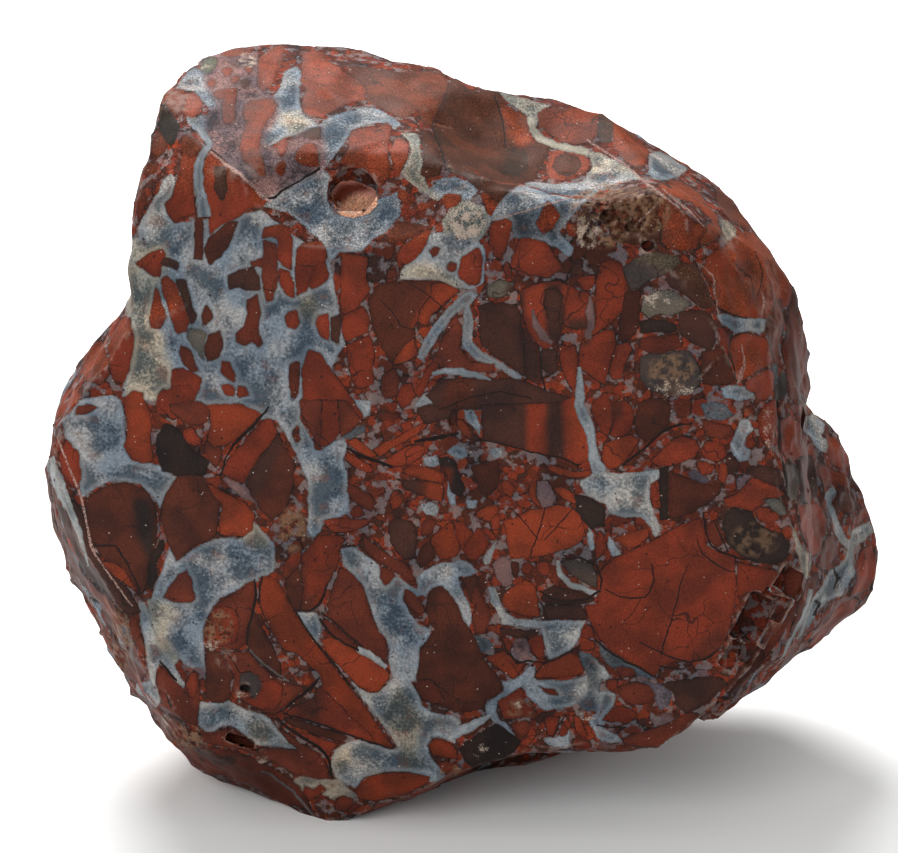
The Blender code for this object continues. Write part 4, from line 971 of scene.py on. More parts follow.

# worn places: kind, middle, reach and amount; the scuffed kind is partly wear and partly painted highlight
# on ridges
WEAR_AND_HIGHLIGHT = [
    ("porous", (604, 214), (34, 34), 1.0),
    ("porous", (644, 210), (30, 26), 0.7),
    ("porous", (218, 628), (17, 20), 0.7),
    ("porous", (292, 530), (16, 26), 0.6),
    ("porous", (672, 372), (28, 20), 0.6),
    ("porous", (755, 540), (28, 20), 0.5),
    ("porous", (520, 710), (16, 14), 0.5),
    ("sandy", (247, 60), (11, 10), 0.55),
    ("sandy", (207, 64), (9, 7), 0.4),
    ("porous", (120, 640), (12, 36), 0.6),
    ("porous", (186, 738), (18, 14), 0.7),
    ("porous", (450, 772), (16, 8), 0.6),
    ("porous", (345, 790), (24, 10), 0.4),
    ("sandy", (466, 224), (24, 20), 0.62),
    ("sandy", (588, 232), (18, 20), 0.5),
    ("sandy", (700, 250), (22, 8), 0.3),
    ("sandy", (662, 300), (24, 12), 0.45),
    ("sandy", (346, 207), (14, 9), 0.5),
    ("porous", (356, 200), (18, 12), 0.35),
    ("sandy", (212, 645), (9, 7), 0.55),
    ("sandy", (312, 616), (7, 4), 0.6),
    ("sandy", (164, 722), (7, 9), 0.5),
    ("sandy", (520, 706), (7, 5), 0.5),
    ("sandy", (588, 716), (10, 6), 0.5),
    ("sandy", (484, 748), (8, 5), 0.55),
    ("sandy", (474, 757), (6, 5), 0.5),
    ("sandy", (242, 695), (9, 5), 0.6),
    ("sandy", (262, 762), (9, 5), 0.5),
    ("sandy", (672, 388), (30, 12), 0.45),
    ("sandy", (770, 430), (8, 26), 0.4),
    ("scuffed_and_highlit", (238, 172), (30, 10), 0.35),
    ("scuffed_and_highlit", (178, 102), (16, 12), 0.45),
    ("scuffed_and_highlit", (185, 86), (10, 5), 0.7),
    ("scuffed_and_highlit", (730, 240), (10, 10), 0.5),
    ("scuffed_and_highlit", (226, 660), (10, 10), 0.6),
    ("scuffed_and_highlit", (774, 300), (8, 50), 0.3),
]

# other colours inside fragments: tone, width of the soft edge, and outline
STAINS = [
    ("red", 5, [(332, 196), (342, 184), (360, 182), (372, 190), (354, 194), (342, 204), (336, 212)]),
    ("dark", 7, [(470, 398), (527, 398), (527, 456), (470, 450)]),
    ("dark", 6, [(546, 398), (562, 400), (566, 466), (547, 462)]),
    ("dark", 7, [(508, 284), (524, 284), (526, 330), (540, 352), (540, 382), (520, 380), (500, 330)]),
    ("dark", 6, [(546, 284), (560, 284), (566, 312), (560, 346), (548, 344), (544, 312)]),
    ("maroon", 8, [(372, 298), (380, 280), (430, 278), (432, 300), (420, 320), (400, 326), (378, 324)]),
    ("bright", 8, [(430, 288), (464, 286), (450, 304), (428, 332), (412, 326), (424, 304)]),
    ("bright", 7, [(425, 468), (452, 470), (446, 506), (428, 502)]),
    ("dark", 7, [(396, 476), (418, 478), (420, 504), (398, 496)]),
    ("maroon", 8, [(284, 446), (304, 470), (296, 520), (262, 524), (256, 496), (272, 470)]),
    ("maroon", 10, [(255, 604), (268, 622), (286, 656), (294, 684), (270, 674), (248, 652), (246, 628)]),
    ("maroon", 12, [(296, 690), (318, 680), (326, 700), (316, 722), (296, 716)]),
    ("maroon", 10, [(286, 566), (306, 562), (306, 600), (288, 604)]),
    ("brown", 12, [(698, 640), (724, 624), (726, 660), (690, 670)]),
    ("brown", 12, [(330, 566), (352, 566), (370, 610), (352, 640), (330, 614)]),
    ("dark", 9, [(566, 318), (592, 318), (590, 346), (566, 346)]),
    ("bright", 8, [(572, 400), (584, 400), (594, 450), (578, 460), (568, 430)]),
    ("maroon", 8, [(634, 394), (676, 394), (678, 440), (640, 446)]),
    ("maroon", 9, [(614, 398), (624, 396), (622, 416), (612, 420)]),
    ("brown", 9, [(415, 340), (425, 330), (420, 362), (408, 366)]),
    ("bright", 9, [(205, 612), (224, 608), (232, 632), (216, 648), (204, 638)]),
    ("black", 8, [(132, 500), (150, 498), (156, 540), (150, 566), (138, 540)]),
    ("maroon", 8, [(300, 600), (320, 590), (312, 616), (296, 616)]),
    ("maroon", 10, [(468, 120), (500, 108), (512, 140), (500, 172), (466, 164), (452, 140)]),
    ("bright", 8, [(503, 100), (530, 116), (536, 138), (520, 146), (508, 130)]),
    ("dark", 8, [(700, 270), (716, 280), (716, 306), (700, 306)]),
    ("brown", 9, [(740, 262), (758, 256), (764, 300), (748, 308), (738, 290)]),
    ("maroon", 8, [(446, 380), (470, 376), (476, 404), (440, 410)]),
]

fragments = (CROWN_LEFT + CROWN_RIGHT + SHOULDER + UPPER_LEFT + UPPER_MIDDLE + MIDDLE_LEFT + MIDDLE +
             CENTRE + RIGHT_LOW + RIGHT_FLANK + BOTTOM + LOWER_LEFT + LEFT_FLANK)

# The pattern on the skin
# Each outline becomes a depth in millimetres at the skin's vertices, positive inside the fragment or
# pool, so its edge stays sharp between them. Fragments that nearly touch go into different layers.
# Reach is in pixels, and the other lengths here are in millimetres.
PIXEL = 1000 * EYE_DISTANCE / (LENS / FILM_WIDTH * PICTURE_WIDTH)
LAYERS = 5
LINE_LAYERS = 3
REACH = 12
CLEARANCE = 5 * PIXEL
LINE_END = 0.5 * PIXEL
OVERLAP = 0.3
TONE_SPREAD = 0.14
POOL_BLEND = 1.2
OUTSIDE = -9.0
RIDGE_BEND = 0.16
SHARP_BEND = 0.46
# how strongly sharp ridges are paled: partly scuff, partly painted highlight
RIDGE_SCUFF_AND_HIGHLIGHT = 0.7

places = vertex_array(stone.data)
normals = vertex_array(stone.data, "normal")
across, down = picture_place(places)
sightline = places - np.array(eye)
sightline /= np.linalg.norm(sightline, axis=1)[:, None]
facing = -(normals * sightline).sum(axis=1)


def near(points, reach):
    """The vertices that lie in the picture within reach of a drawn shape and face the eye."""
    low_across, low_down = np.min(points, axis=0)[:2] - reach
    high_across, high_down = np.max(points, axis=0)[:2] + reach
    inside = (across > low_across) & (across < high_across) & (down > low_down) & (down < high_down)
    return np.nonzero(inside & (facing > -0.2))[0]


def segments(points, closed):
    ends = points[1:] + points[:1] if closed else points[1:]
    return list(zip(points, ends))


def depth_inside(outline, chosen):
    """How many pixels the chosen vertices lie inside an outline, negative outside it."""
    x = across[chosen]
    y = down[chosen]
    nearest = np.full(len(chosen), 1e9)
    inside = np.zeros(len(chosen), dtype=bool)
    for (x0, y0), (x1, y1) in segments(outline, closed=True):
        run_x = x1 - x0
        run_y = y1 - y0
        share = np.clip(((x - x0) * run_x + (y - y0) * run_y) / (run_x ** 2 + run_y ** 2), 0, 1)
        nearest = np.minimum(nearest, np.hypot(x - x0 - share * run_x, y - y0 - share * run_y))
        if y0 != y1:
            inside ^= ((y0 > y) != (y1 > y)) & (x < run_x * (y - y0) / run_y + x0)
    return np.where(inside, nearest, -nearest)


def side_of(line, chosen):
    """How far the chosen vertices lie to one side of a line, how far past its ends, and its half width."""
    x = across[chosen]
    y = down[chosen]
    side = np.full(len(chosen), 1e9)
    past = np.zeros(len(chosen))
    half_width = np.zeros(len(chosen))
    pieces = segments(line, closed=False)
    for number, ((x0, y0, w0), (x1, y1, w1)) in enumerate(pieces):
        length = math.hypot(x1 - x0, y1 - y0)
        along = ((x - x0) * (x1 - x0) + (y - y0) * (y1 - y0)) / length
        off = ((x - x0) * (y1 - y0) - (y - y0) * (x1 - x0)) / length
        beyond = np.maximum(0, np.maximum(-along, along - length))
        distance = np.hypot(off, beyond)
        closer = distance < np.abs(side)
        sign = np.where(off < 0, -1, 1)
        at_end = ((number == 0) & (along < 0)) | ((number == len(pieces) - 1) & (along > length))
        side = np.where(closer, np.where(at_end, off, sign * distance), side)
        past = np.where(closer, np.where(at_end, beyond, 0), past)
        half_width = np.where(closer, w0 + (w1 - w0) * np.clip(along / length, 0, 1), half_width)
    return side, past, half_width


rng = np.random.default_rng(7)
fragment_layers = [np.full((len(places), 4), OUTSIDE) for _ in range(LAYERS)]
for tone, outline in fragments:
    chosen = near(outline, REACH)
    depth = depth_inside(outline, chosen) * PIXEL
    close = depth > -CLEARANCE
    lowest = 0
    for number, layer in enumerate(fragment_layers):
        if np.any((layer[chosen, 3] > OVERLAP) & (depth > OVERLAP)):
            lowest = number + 1
    layer = fragment_layers[LAYERS - 1]
    for candidate in reversed(fragment_layers[lowest:]):
        if not np.any(candidate[chosen[close], 3] > -CLEARANCE):
            layer = candidate
    wins = depth > layer[chosen, 3]
    layer[chosen[wins], :3] = np.array(JASPER[tone]) * rng.uniform(1 - TONE_SPREAD, 1 + TONE_SPREAD)
    layer[chosen[wins], 3] = depth[wins]

for tone, soft_edge, outline in STAINS:
    chosen = near(outline, REACH)
    share = np.clip(0.5 + depth_inside(outline, chosen) / soft_edge, 0, 1)[:, None]
    for layer in fragment_layers:
        layer[chosen, :3] = layer[chosen, :3] * (1 - share) + np.array(JASPER[tone]) * share

pools = np.full((len(places), 4), OUTSIDE)
pools[:, :3] = CHALCEDONY["blue"]
for tint, outline in POOLS:
    chosen = near(outline, REACH)
    depth = depth_inside(outline, chosen) * PIXEL
    share = np.clip(0.5 + depth / POOL_BLEND, 0, 1)[:, None]
    share = np.where(pools[chosen, 3:] < 0, 1, share)
    pools[chosen, :3] = pools[chosen, :3] * (1 - share) + np.array(CHALCEDONY[tint]) * share
    pools[chosen, 3] = np.maximum(pools[chosen, 3], depth)

line_layers = [np.tile([9.0, OUTSIDE, 0.0, 0.0], (len(places), 1)) for _ in range(LINE_LAYERS)]
drawn_lines = [("crack", line) for line in SEAMS] + VEINS
for tint, line in drawn_lines:
    chosen = near(line, REACH)
    side, past, half_width = side_of(line, chosen)
    window = np.minimum(REACH - np.abs(side), 1 - past) * PIXEL
    close = window > -LINE_END
    layer = line_layers[LINE_LAYERS - 1]
    for candidate in reversed(line_layers):
        if not np.any(candidate[chosen[close], 1] > -LINE_END):
            layer = candidate
    wins = window > layer[chosen, 1]
    layer[chosen[wins], 0] = side[wins] * PIXEL
    layer[chosen[wins], 1] = window[wins]
    layer[chosen[wins], 2] = half_width[wins] * PIXEL
    layer[chosen[wins], 3] = LINE_TINTS.index(tint)

wear_and_highlight = np.zeros((len(places), 4))
for kind, (middle_across, middle_down), (reach_across, reach_down), amount in WEAR_AND_HIGHLIGHT:
    spread = ((across - middle_across) / reach_across) ** 2 + ((down - middle_down) / reach_down) ** 2
    column = ["porous", "sandy", "scuffed_and_highlit"].index(kind)
    blot = amount * np.clip(1.6 - 1.2 * spread, 0, 1) * (facing > 0)
    wear_and_highlight[:, column] = np.maximum(wear_and_highlight[:, column], blot)

# the ridges are paler where the skin bends outwards: partly scuffed, partly a painted highlight
ends = np.empty(len(stone.data.edges) * 2, dtype=int)
stone.data.edges.foreach_get("vertices", ends)
first, second = ends.reshape(-1, 2).T
apart = places[first] - places[second]
bend = ((normals[first] - normals[second]) * apart).sum(axis=1) / (apart ** 2).sum(axis=1) * MM
neighbours = np.bincount(ends, minlength=len(places))


def averaged(values):
    """Each vertex's share of its neighbours' values."""
    total = np.bincount(first, values[second], len(places))
    total += np.bincount(second, values[first], len(places))
    return total / neighbours


ridge = (np.bincount(first, bend, len(places)) + np.bincount(second, bend, len(places))) / neighbours
ridge = averaged(ridge) * 0.5 + ridge * 0.5
scuff_and_highlight = RIDGE_SCUFF_AND_HIGHLIGHT * np.clip((ridge - RIDGE_BEND) / (SHARP_BEND - RIDGE_BEND), 0, 1)
wear_and_highlight[:, 2] = np.maximum(wear_and_highlight[:, 2], scuff_and_highlight)


def keep_on_skin(name, values):
    kept = stone.data.attributes.new(name, "FLOAT_COLOR", "POINT")
    kept.data.foreach_set("color", values.astype(np.float32).ravel())


for number, layer in enumerate(fragment_layers):
    keep_on_skin(f"fragments_{number}", layer)
for number, layer in enumerate(line_layers):
    keep_on_skin(f"lines_{number}", layer)
keep_on_skin("pools", pools)
wear_and_highlight[:, 3] = np.clip((facing - 0.02) / 0.3, 0, 1)
keep_on_skin("wear_and_highlight", wear_and_highlight)
# how much each vertex faces up, for the painted sheen on the upper facets
upward_sheen_share = np.clip((normals[:, 2] - 0.30) / 0.25, 0, 1)
keep_on_skin("painted_top_sheen", np.repeat(upward_sheen_share[:, None], 4, axis=1))

# The skin's relief
# The chalcedony is worn a little below the fragments, cracks are open at the surface, the broad face
# has faint ripples, and the flanks and the back are rough broken rock. Depths are in millimetres.
SMOOTH_ANGLE = math.radians(32)
POOL_DROP = 0.12
CRUSH_DROP = 0.10
CRACK_DEPTH = 0.28
RIPPLE = 0.14
ROUGH_BREAK = 0.75
PIT_DEPTH = 0.5


def noise_at(scale, seed, kind=noise.noise):
    """Noise at each vertex, with so many features in a millimetre."""
    shift = Vector((seed * 17.3, seed * 5.1, seed * 9.7))
    return np.array([kind(Vector(p) * scale * 1000 + shift) for p in places])


def ease(values, low, high):
    share = np.clip((values - low) / (high - low), 0, 1)
    return share * share * (3 - 2 * share)


in_fragment = np.max([layer[:, 3] for layer in fragment_layers], axis=0)
seen = ease(wear_and_highlight[:, 3], 0.3, 0.7)
pool_bed = ease(np.minimum(pools[:, 3], -in_fragment), 0.0, 0.4) * seen
crushed = ease(-in_fragment, -0.05, 0.15) * ease(-pools[:, 3], -0.1, 0.1) * seen
flat_break = np.maximum(ease(facing, 0.55, 0.75), ease(normals[:, 2], 0.45, 0.65) * ease(facing, 0.05, 0.2))
fine = noise_at(1.3, 1)
broad = noise_at(0.10, 2)
rough = noise_at(0.6, 3)
scoops = noise_at(0.19, 4, lambda point: noise.voronoi(point)[0][0])
pits = noise_at(1.7, 5)

move = -RIPPLE * (broad + 0.5) * flat_break
move -= ROUGH_BREAK * (np.clip(0.85 - scoops, 0, 1) + 0.25 * rough) * (1 - 0.95 * flat_break)
move -= POOL_DROP * pool_bed * (1 + 0.4 * fine)
move -= CRUSH_DROP * crushed * (1 + fine)
move -= PIT_DEPTH * wear_and_highlight[:, 0] * ease(pits, 0.05, 0.35)
for layer in line_layers:
    groove = ease(layer[:, 2] + 0.1 - np.abs(layer[:, 0]), 0, 0.2) * (layer[:, 1] > 0) * (layer[:, 3] < 0.5)
    move -= CRACK_DEPTH * groove * np.clip(layer[:, 2] / 0.3, 0.2, 1)
move *= ease(places[:, 2], 0.3 * MM, 2.5 * MM)
stone.data.vertices.foreach_set("co", (places + normals * move[:, None] * MM).ravel())
stone.data.update()
bpy.ops.object.shade_smooth_by_angle(angle=SMOOTH_ANGLE)

# The stone's finish
# Jasper breaks with a satin surface. Its fragments carry fine dark cracks, pits darkened with painted
# shade, and pale specks, the chalcedony is paler along its edges and mottled inside, the crushed rock
# between them is dull, the upward facets carry a painted sheen, and the ridges a pale line that is partly
# scuff and partly painted highlight.


# each of these adds its nodes to the tree in hand
def joined(socket, value):
    """Set a socket, or join it to another node's output."""
    if isinstance(value, bpy.types.NodeSocket):
        tree.links.new(value, socket)
    elif isinstance(value, tuple) and len(value) == 3 and socket.type == "RGBA":
        socket.default_value = (*value, 1)
    else:
        socket.default_value = value


def calc(operation, *values):
    made = tree.nodes.new("ShaderNodeMath")
    made.operation = operation
    for socket, value in zip(made.inputs, values):
        joined(socket, value)
    return made.outputs[0]


def times(first_value, second_value):
    return calc("MULTIPLY", first_value, second_value)


def plus(first_value, second_value):
    return calc("ADD", first_value, second_value)


def ramp(value, low, high, start=0.0, end=1.0):
    """A smooth change from start to end as the value goes from low to high."""
    made = tree.nodes.new("ShaderNodeMapRange")
    made.interpolation_type = "SMOOTHSTEP"
    for number, part in enumerate((value, low, high, start, end)):
        joined(made.inputs[number], part)
    return made.outputs["Result"]


def blend(share, under, over, blend_type="MIX"):
    made = tree.nodes.new("ShaderNodeMix")
    made.data_type = "RGBA"
    made.blend_type = blend_type
    for number, part in ((0, share), (6, under), (7, over)):
        joined(made.inputs[number], part)
    return made.outputs[2]


def tinted(colour, by):
    return blend(1.0, colour, by, "MULTIPLY")


def split(colour):
    made = tree.nodes.new("ShaderNodeSeparateColor")
    joined(made.inputs[0], colour)
    return made.outputs


def noise_over(place, scale, detail=2.0, output=0):
    made = tree.nodes.new("ShaderNodeTexNoise")
    for name, part in (("Vector", place), ("Scale", scale), ("Detail", detail)):
        joined(made.inputs[name], part)
    return made.outputs[output]


def cells_over(place, scale, feature="F1"):
    made = tree.nodes.new("ShaderNodeTexVoronoi")
    made.feature = feature
    joined(made.inputs["Vector"], place)
    joined(made.inputs["Scale"], scale)
    return made


def moved(place, amount, scale, by=(0.0, 0.0, 0.0)):
    """A place pushed about by noise, and shifted."""
    push = tree.nodes.new("ShaderNodeVectorMath")
    push.operation = "MULTIPLY_ADD"
    joined(push.inputs[0], noise_over(place, scale, 1.0, 1))
    push.inputs[1].default_value = (amount, amount, amount)
    joined(push.inputs[2], place)
    shift = tree.nodes.new("ShaderNodeVectorMath")
    shift.operation = "ADD"
    joined(shift.inputs[0], push.outputs[0])
    shift.inputs[1].default_value = by
    return shift.outputs[0]


def new_group(name, inputs, outputs):
    group = bpy.data.node_groups.new(name, "ShaderNodeTree")
    for direction, sockets in (("INPUT", inputs), ("OUTPUT", outputs)):
        for socket_name, kind in sockets:
            group.interface.new_socket(socket_name, in_out=direction, socket_type=f"NodeSocket{kind}")
    return group, group.nodes.new("NodeGroupInput").outputs, group.nodes.new("NodeGroupOutput").inputs


def place_group(name, *values):
    made = tree.nodes.new("ShaderNodeGroup")
    made.node_tree = bpy.data.node_groups[name]
    for socket, value in zip(made.inputs, values):
        joined(socket, value)
    return made.outputs


def stepped(value, stops):
    """One plain colour for each range of a value, from stops of a start and a colour."""
    made = tree.nodes.new("ShaderNodeValToRGB")
    made.color_ramp.interpolation = "CONSTANT"
    elements = made.color_ramp.elements
    for number, (position, colour) in enumerate(stops):
        element = elements[number] if number < 2 else elements.new(position)
        element.position = position
        element.color = (*colour, 1)
    joined(made.inputs[0], value)
    return made.outputs[0]


# colours, how many of each feature lie along a millimetre, and finish
CRACK = (0.012, 0.008, 0.007)
HAZE = (0.125, 0.100, 0.098)
GHOST = (0.100, 0.050, 0.040)
SPECK = (0.42, 0.33, 0.28)
RUST = (0.165, 0.095, 0.055)
SAND = (0.34, 0.27, 0.215)
# pale ridge colour: partly scuff, partly painted highlight
SCUFF_AND_HIGHLIGHT = (0.34, 0.24, 0.20)
COARSE_PIECES_PER_MM = 0.42
FINE_PIECES_PER_MM = 1.0
CLASTS_PER_MM = 0.105
HAIRLINES_PER_MM = 0.16
SPECKS_PER_MM = 1.1
PITS_PER_MM = 0.72
HOLLOWS_PER_MM = 1.7
SOFT_EDGE = 0.05
SATIN = 0.54
DULL = 0.74
SHEEN = 0.07
GRAIN_HEIGHT = 0.03 * MM
# where each tone starts, as a share of all the pieces
BROKEN_TONES = {"maroon": 0.0, "brown": 0.22, "red": 0.44, "bright": 0.70, "dark": 0.80, "mauve": 0.94}
CLAST_TONES = {"red": 0.0, "brown": 0.32, "bright": 0.60, "maroon": 0.68, "dark": 0.86}

# broken rock: sharp small pieces with dark gaps
tree, given, out = new_group(
    "broken_rock", [("Place", "Vector"), ("Scale", "Float")], [("Colour", "Color")])
bent = moved(given["Place"], 0.5, 1.3)
cells = cells_over(bent, given["Scale"])
borders = cells_over(bent, given["Scale"], "DISTANCE_TO_EDGE")
tone = stepped(split(cells.outputs["Color"])[0], [(p, JASPER[name]) for name, p in BROKEN_TONES.items()])
gap = ramp(borders.outputs["Distance"], 0.01, 0.08, 1.0, 0.0)
uneven = noise_over(given["Place"], 0.8, 2.0)
gap = times(gap, ramp(uneven, 0.36, 0.54, 0.35, 1.0))
tone = blend(gap, tone, CRACK)
hazy = ramp(uneven, 0.51, 0.62, 0.0, 0.8)
joined(out["Colour"], blend(hazy, tone, HAZE))

# chalcedony: pale along the edges of a pool, mottled blue-grey inside
tree, given, out = new_group(
    "chalcedony", [("Place", "Vector"), ("Tint", "Color"), ("Depth", "Float")], [("Colour", "Color")])
cloud = noise_over(given["Place"], 0.26, 1.0)
grain = noise_over(given["Place"], 2.6, 2.0)
ghost = noise_over(given["Place"], 0.55, 2.0)
grainy_depth = calc("MULTIPLY_ADD", grain, 0.9, given["Depth"])
grainy_cloud = calc("MULTIPLY_ADD", grain, 0.45, cloud)
deep_tint = tinted(given["Tint"], (0.40, 0.48, 0.55))
pale_tint = tinted(given["Tint"], (1.70, 1.66, 1.60))
body = blend(ramp(grainy_cloud, 0.58, 0.90), deep_tint, pale_tint)
body = blend(ramp(ghost, 0.55, 0.68, 0.0, 0.45), body, GHOST)
rim = tinted(given["Tint"], ramp(cloud, 0.35, 0.65, 1.10, 1.60))
look = blend(ramp(grainy_depth, 0.55, 1.35), rim, body)
look = tinted(look, ramp(given["Depth"], 0.0, 0.35, 0.62, 1.0))
look = tinted(look, ramp(grain, 0.3, 0.7, 0.86, 1.14))
joined(out["Colour"], look)

# one layer of fragments over what lies under it
tree, given, out = new_group(
    "fragment_layer",
    [("Under", "Color"), ("Tone", "Color"), ("Depth", "Float"), ("Line", "Float")],
    [("Colour", "Color"), ("Cover", "Float")])
inside = ramp(given["Depth"], -SOFT_EDGE, SOFT_EDGE)
edge_shade = ramp(given["Depth"], 0.0, 0.7, 0.80, 1.0)
body = tinted(given["Tone"], edge_shade)
line = ramp(calc("ABSOLUTE", given["Depth"]), 0.02, 0.13, 1.0, 0.0)
line = times(line, given["Line"])
body = blend(inside, given["Under"], body)
joined(out["Colour"], blend(line, body, CRACK))
joined(out["Cover"], inside)

finish = bpy.data.materials.new("brecciated_jasper")
finish.use_nodes = True
tree = finish.node_tree
surface = tree.nodes["Principled BSDF"]
spot = tree.nodes.new("ShaderNodeTexCoord").outputs["Object"]
in_mm = tree.nodes.new("ShaderNodeVectorMath")
in_mm.operation = "SCALE"
joined(in_mm.inputs[0], spot)
in_mm.inputs["Scale"].default_value = 1000
place = in_mm.outputs[0]


def on_skin(name):
    made = tree.nodes.new("ShaderNodeAttribute")
    made.attribute_name = name
    return made.outputs["Color"], made.outputs["Alpha"]


slow = noise_over(place, 0.22, 2.0)
middling = noise_over(place, 0.9, 3.0)
fine_grain = noise_over(place, 5.0, 2.0)
uneven = calc("SUBTRACT", middling, 0.5)
wobble = calc("MULTIPLY_ADD", uneven, 0.55, calc("MULTIPLY_ADD", fine_grain, 0.12, -0.06))

# the seen side: crushed rock, pools, then the fragments
coarse_crush = place_group("broken_rock", place, COARSE_PIECES_PER_MM)
fine_crush = place_group("broken_rock", place, FINE_PIECES_PER_MM)
mixed = ramp(slow, 0.45, 0.55)
crush_colour = blend(mixed, coarse_crush["Colour"], fine_crush["Colour"])
pool_tint, pool_depth = on_skin("pools")
pool_depth = plus(pool_depth, wobble)
open_depth = pool_depth
layers = []
for number in range(LAYERS):
    tone, depth = on_skin(f"fragments_{number}")
    depth = plus(depth, wobble)
    layers.append((tone, depth))
    open_depth = calc("MINIMUM", open_depth, times(depth, -1.0))
pool_look = place_group("chalcedony", place, pool_tint, open_depth)
in_pool = ramp(pool_depth, -0.05, 0.08)
colour = blend(in_pool, crush_colour, pool_look["Colour"])
painted_top_sheen = on_skin("painted_top_sheen")[1]
line_strength = ramp(middling, 0.36, 0.6, 0.25, 1.0)
line_strength = times(line_strength, calc("MULTIPLY_ADD", in_pool, -0.6, 1.0))
# outlines are also weaker on upward facets, where the painted sheen washes them out
line_strength = times(line_strength, calc("MULTIPLY_ADD", painted_top_sheen, -0.6, 1.0))
cover = 0.0
for tone, depth in layers:
    laid = place_group("fragment_layer", colour, tone, depth, line_strength)
    colour = laid["Colour"]
    cover = calc("MAXIMUM", cover, laid["Cover"])

# the unseen sides: larger fragments with narrow cracks, and pools where they stand apart
clast_place = moved(place, 5.0, 0.16)
clasts = cells_over(clast_place, CLASTS_PER_MM)
clast_borders = cells_over(clast_place, CLASTS_PER_MM, "DISTANCE_TO_EDGE")
apart = ramp(noise_over(place, 0.045, 1.0), 0.47, 0.66, 0.1, -1.9)
border_depth = calc("MULTIPLY_ADD", clast_borders.outputs["Distance"], 1 / CLASTS_PER_MM, apart)
border_depth = plus(border_depth, wobble)
clast_stops = [(p, JASPER[name]) for name, p in CLAST_TONES.items()]
clast_tone = stepped(split(clasts.outputs["Color"])[0], clast_stops)
unseen_pools = place_group("chalcedony", place, CHALCEDONY["blue"], times(border_depth, -1.0))
between = blend(ramp(slow, 0.52, 0.56), unseen_pools["Colour"], crush_colour)
unseen = place_group("fragment_layer", between, clast_tone, border_depth, line_strength)
wear_and_highlight_mix, facing_share = on_skin("wear_and_highlight")
seen_side = ramp(calc("MULTIPLY_ADD", uneven, 0.6, facing_share), 0.30, 0.36)
unseen_side = calc("SUBTRACT", 1.0, seen_side)
colour = blend(seen_side, unseen["Colour"], colour)
cover = calc("MULTIPLY_ADD", unseen["Cover"], unseen_side, times(cover, seen_side))

# mottling, a painted sheen on upward facets, hairline cracks, pits darkened with painted shade and pale
# specks in the jasper
shade = blend(ramp(slow, 0.34, 0.66), (0.66, 0.74, 0.84), (1.20, 1.10, 1.04))
colour = tinted(colour, shade)
colour = tinted(colour, ramp(fine_grain, 0.25, 0.75, 0.76, 1.24))
# upward facets are lightened and made more orange with a stronger grain: a painted sheen
painted_top_sheen_tint = blend(cover, (1.08, 1.06, 1.04), (1.12, 1.24, 0.98))
painted_top_sheen_tint = tinted(painted_top_sheen_tint, ramp(fine_grain, 0.3, 0.7, 0.72, 1.34))
colour = blend(painted_top_sheen, colour, tinted(colour, painted_top_sheen_tint))
hair = cells_over(moved(place, 4.0, 0.3), HAIRLINES_PER_MM, "DISTANCE_TO_EDGE")
hair = ramp(hair.outputs["Distance"], 0.004, 0.012, 0.75, 0.0)
hair = times(hair, ramp(noise_over(place, 0.13, 1.0), 0.48, 0.56))
colour = blend(times(hair, cover), colour, CRACK)


def dots(by, scale, size, rarity):
    """Scattered dots, each in its own cell."""
    cell = cells_over(moved(place, 0.3, 2.0, by), scale)
    dot = ramp(cell.outputs["Distance"], size * 0.5, size, 1.0, 0.0)
    return times(dot, calc("GREATER_THAN", split(cell.outputs["Color"])[0], rarity))


specks = dots((3.0, 7.0, 1.0), SPECKS_PER_MM, size=0.13, rarity=0.80)
# dark pits: painted shade standing in for tiny pits
painted_pit_shade = dots((11.0, 2.0, 5.0), PITS_PER_MM, size=0.15, rarity=0.62)
colour = blend(times(specks, 0.7), colour, SPECK)
colour = blend(times(painted_pit_shade, 0.85), colour, CRACK)

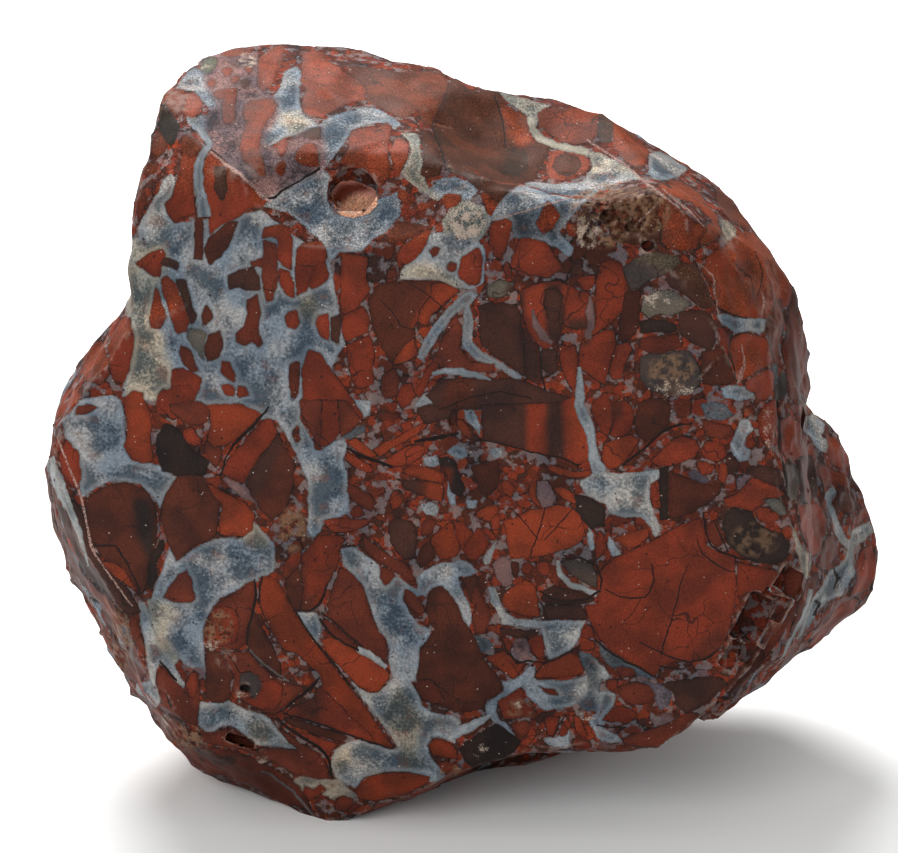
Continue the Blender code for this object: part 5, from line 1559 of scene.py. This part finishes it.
# drawn cracks and veins, over all the rest
TINT_STEP = 0.1
line_stops = [(0.0, CRACK)]
for step, tint in enumerate(LINE_TINTS[1:]):
    line_stops.append(((step + 0.5) * TINT_STEP, CHALCEDONY[tint]))
broken_up = ramp(fine_grain, 0.40, 0.56, -0.85, -0.1)
for number in range(LINE_LAYERS):
    line, kind = on_skin(f"lines_{number}")
    side, window, half_width = split(line)[:3]
    wander = times(wobble, plus(half_width, 0.6))
    off = calc("ABSOLUTE", plus(side, wander))
    inwards = calc("SUBTRACT", half_width, off)
    in_line = ramp(inwards, -0.04, 0.05)
    in_line = times(in_line, calc("GREATER_THAN", window, 0.0))
    # scuffed lines on ridges are partly painted highlight
    is_scuff_and_highlight = calc("GREATER_THAN", kind, LINE_TINTS.index("scuffed_and_highlit") - 0.5)
    in_line = times(in_line, calc("MULTIPLY_ADD", is_scuff_and_highlight, broken_up, 1.0))
    line_colour = stepped(times(kind, TINT_STEP), line_stops)
    is_vein = calc("GREATER_THAN", kind, 0.5)
    vein_look = place_group("chalcedony", place, line_colour, inwards)
    colour = blend(in_line, colour, blend(is_vein, CRACK, vein_look["Colour"]))

# porous places with rust and hollows darkened by painted shade, sandy places, and scuffed places that are
# partly painted highlight
porous, sandy, scuffed_and_highlit = split(wear_and_highlight_mix)[:3]
rusty = times(ramp(middling, 0.42, 0.6, 0.0, 0.7), ramp(porous, 0.2, 0.7))
colour = blend(rusty, colour, RUST)
# dark hollows in porous places: painted shade in their pores
painted_hollow_shade = cells_over(moved(place, 0.5, 1.6), HOLLOWS_PER_MM)
painted_hollow_shade = ramp(painted_hollow_shade.outputs["Distance"], 0.16, 0.40, 1.0, 0.0)
painted_hollow_shade = times(painted_hollow_shade, ramp(porous, 0.25, 0.8))
colour = blend(times(painted_hollow_shade, 0.85), colour, CRACK)
sand = calc("MULTIPLY_ADD", fine_grain, 0.9, calc("MULTIPLY_ADD", middling, 1.3, sandy))
sand = times(ramp(sand, 1.52, 1.88), ramp(sandy, 0.05, 0.3, 0.0, 0.85))
colour = blend(sand, colour, SAND)
# scuffed places, partly a painted highlight on ridges and edges
scuff_and_highlight = times(ramp(middling, 0.40, 0.62, 0.0, 0.55), scuffed_and_highlit)
colour = blend(scuff_and_highlight, colour, SCUFF_AND_HIGHLIGHT)

relief = tree.nodes.new("ShaderNodeBump")
relief.inputs["Strength"].default_value = 0.8
relief.inputs["Distance"].default_value = GRAIN_HEIGHT
joined(relief.inputs["Height"], fine_grain)
joined(surface.inputs["Normal"], relief.outputs["Normal"])
joined(surface.inputs["Base Color"], colour)
polish = calc("MULTIPLY_ADD", fine_grain, 0.5, cover)
joined(surface.inputs["Roughness"], ramp(polish, 0.1, 1.4, DULL, SATIN))
surface.inputs["Specular IOR Level"].default_value = SHEEN
stone.data.materials.clear()
stone.data.materials.append(finish)

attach(stone, "root")
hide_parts("brecciated_jasper")
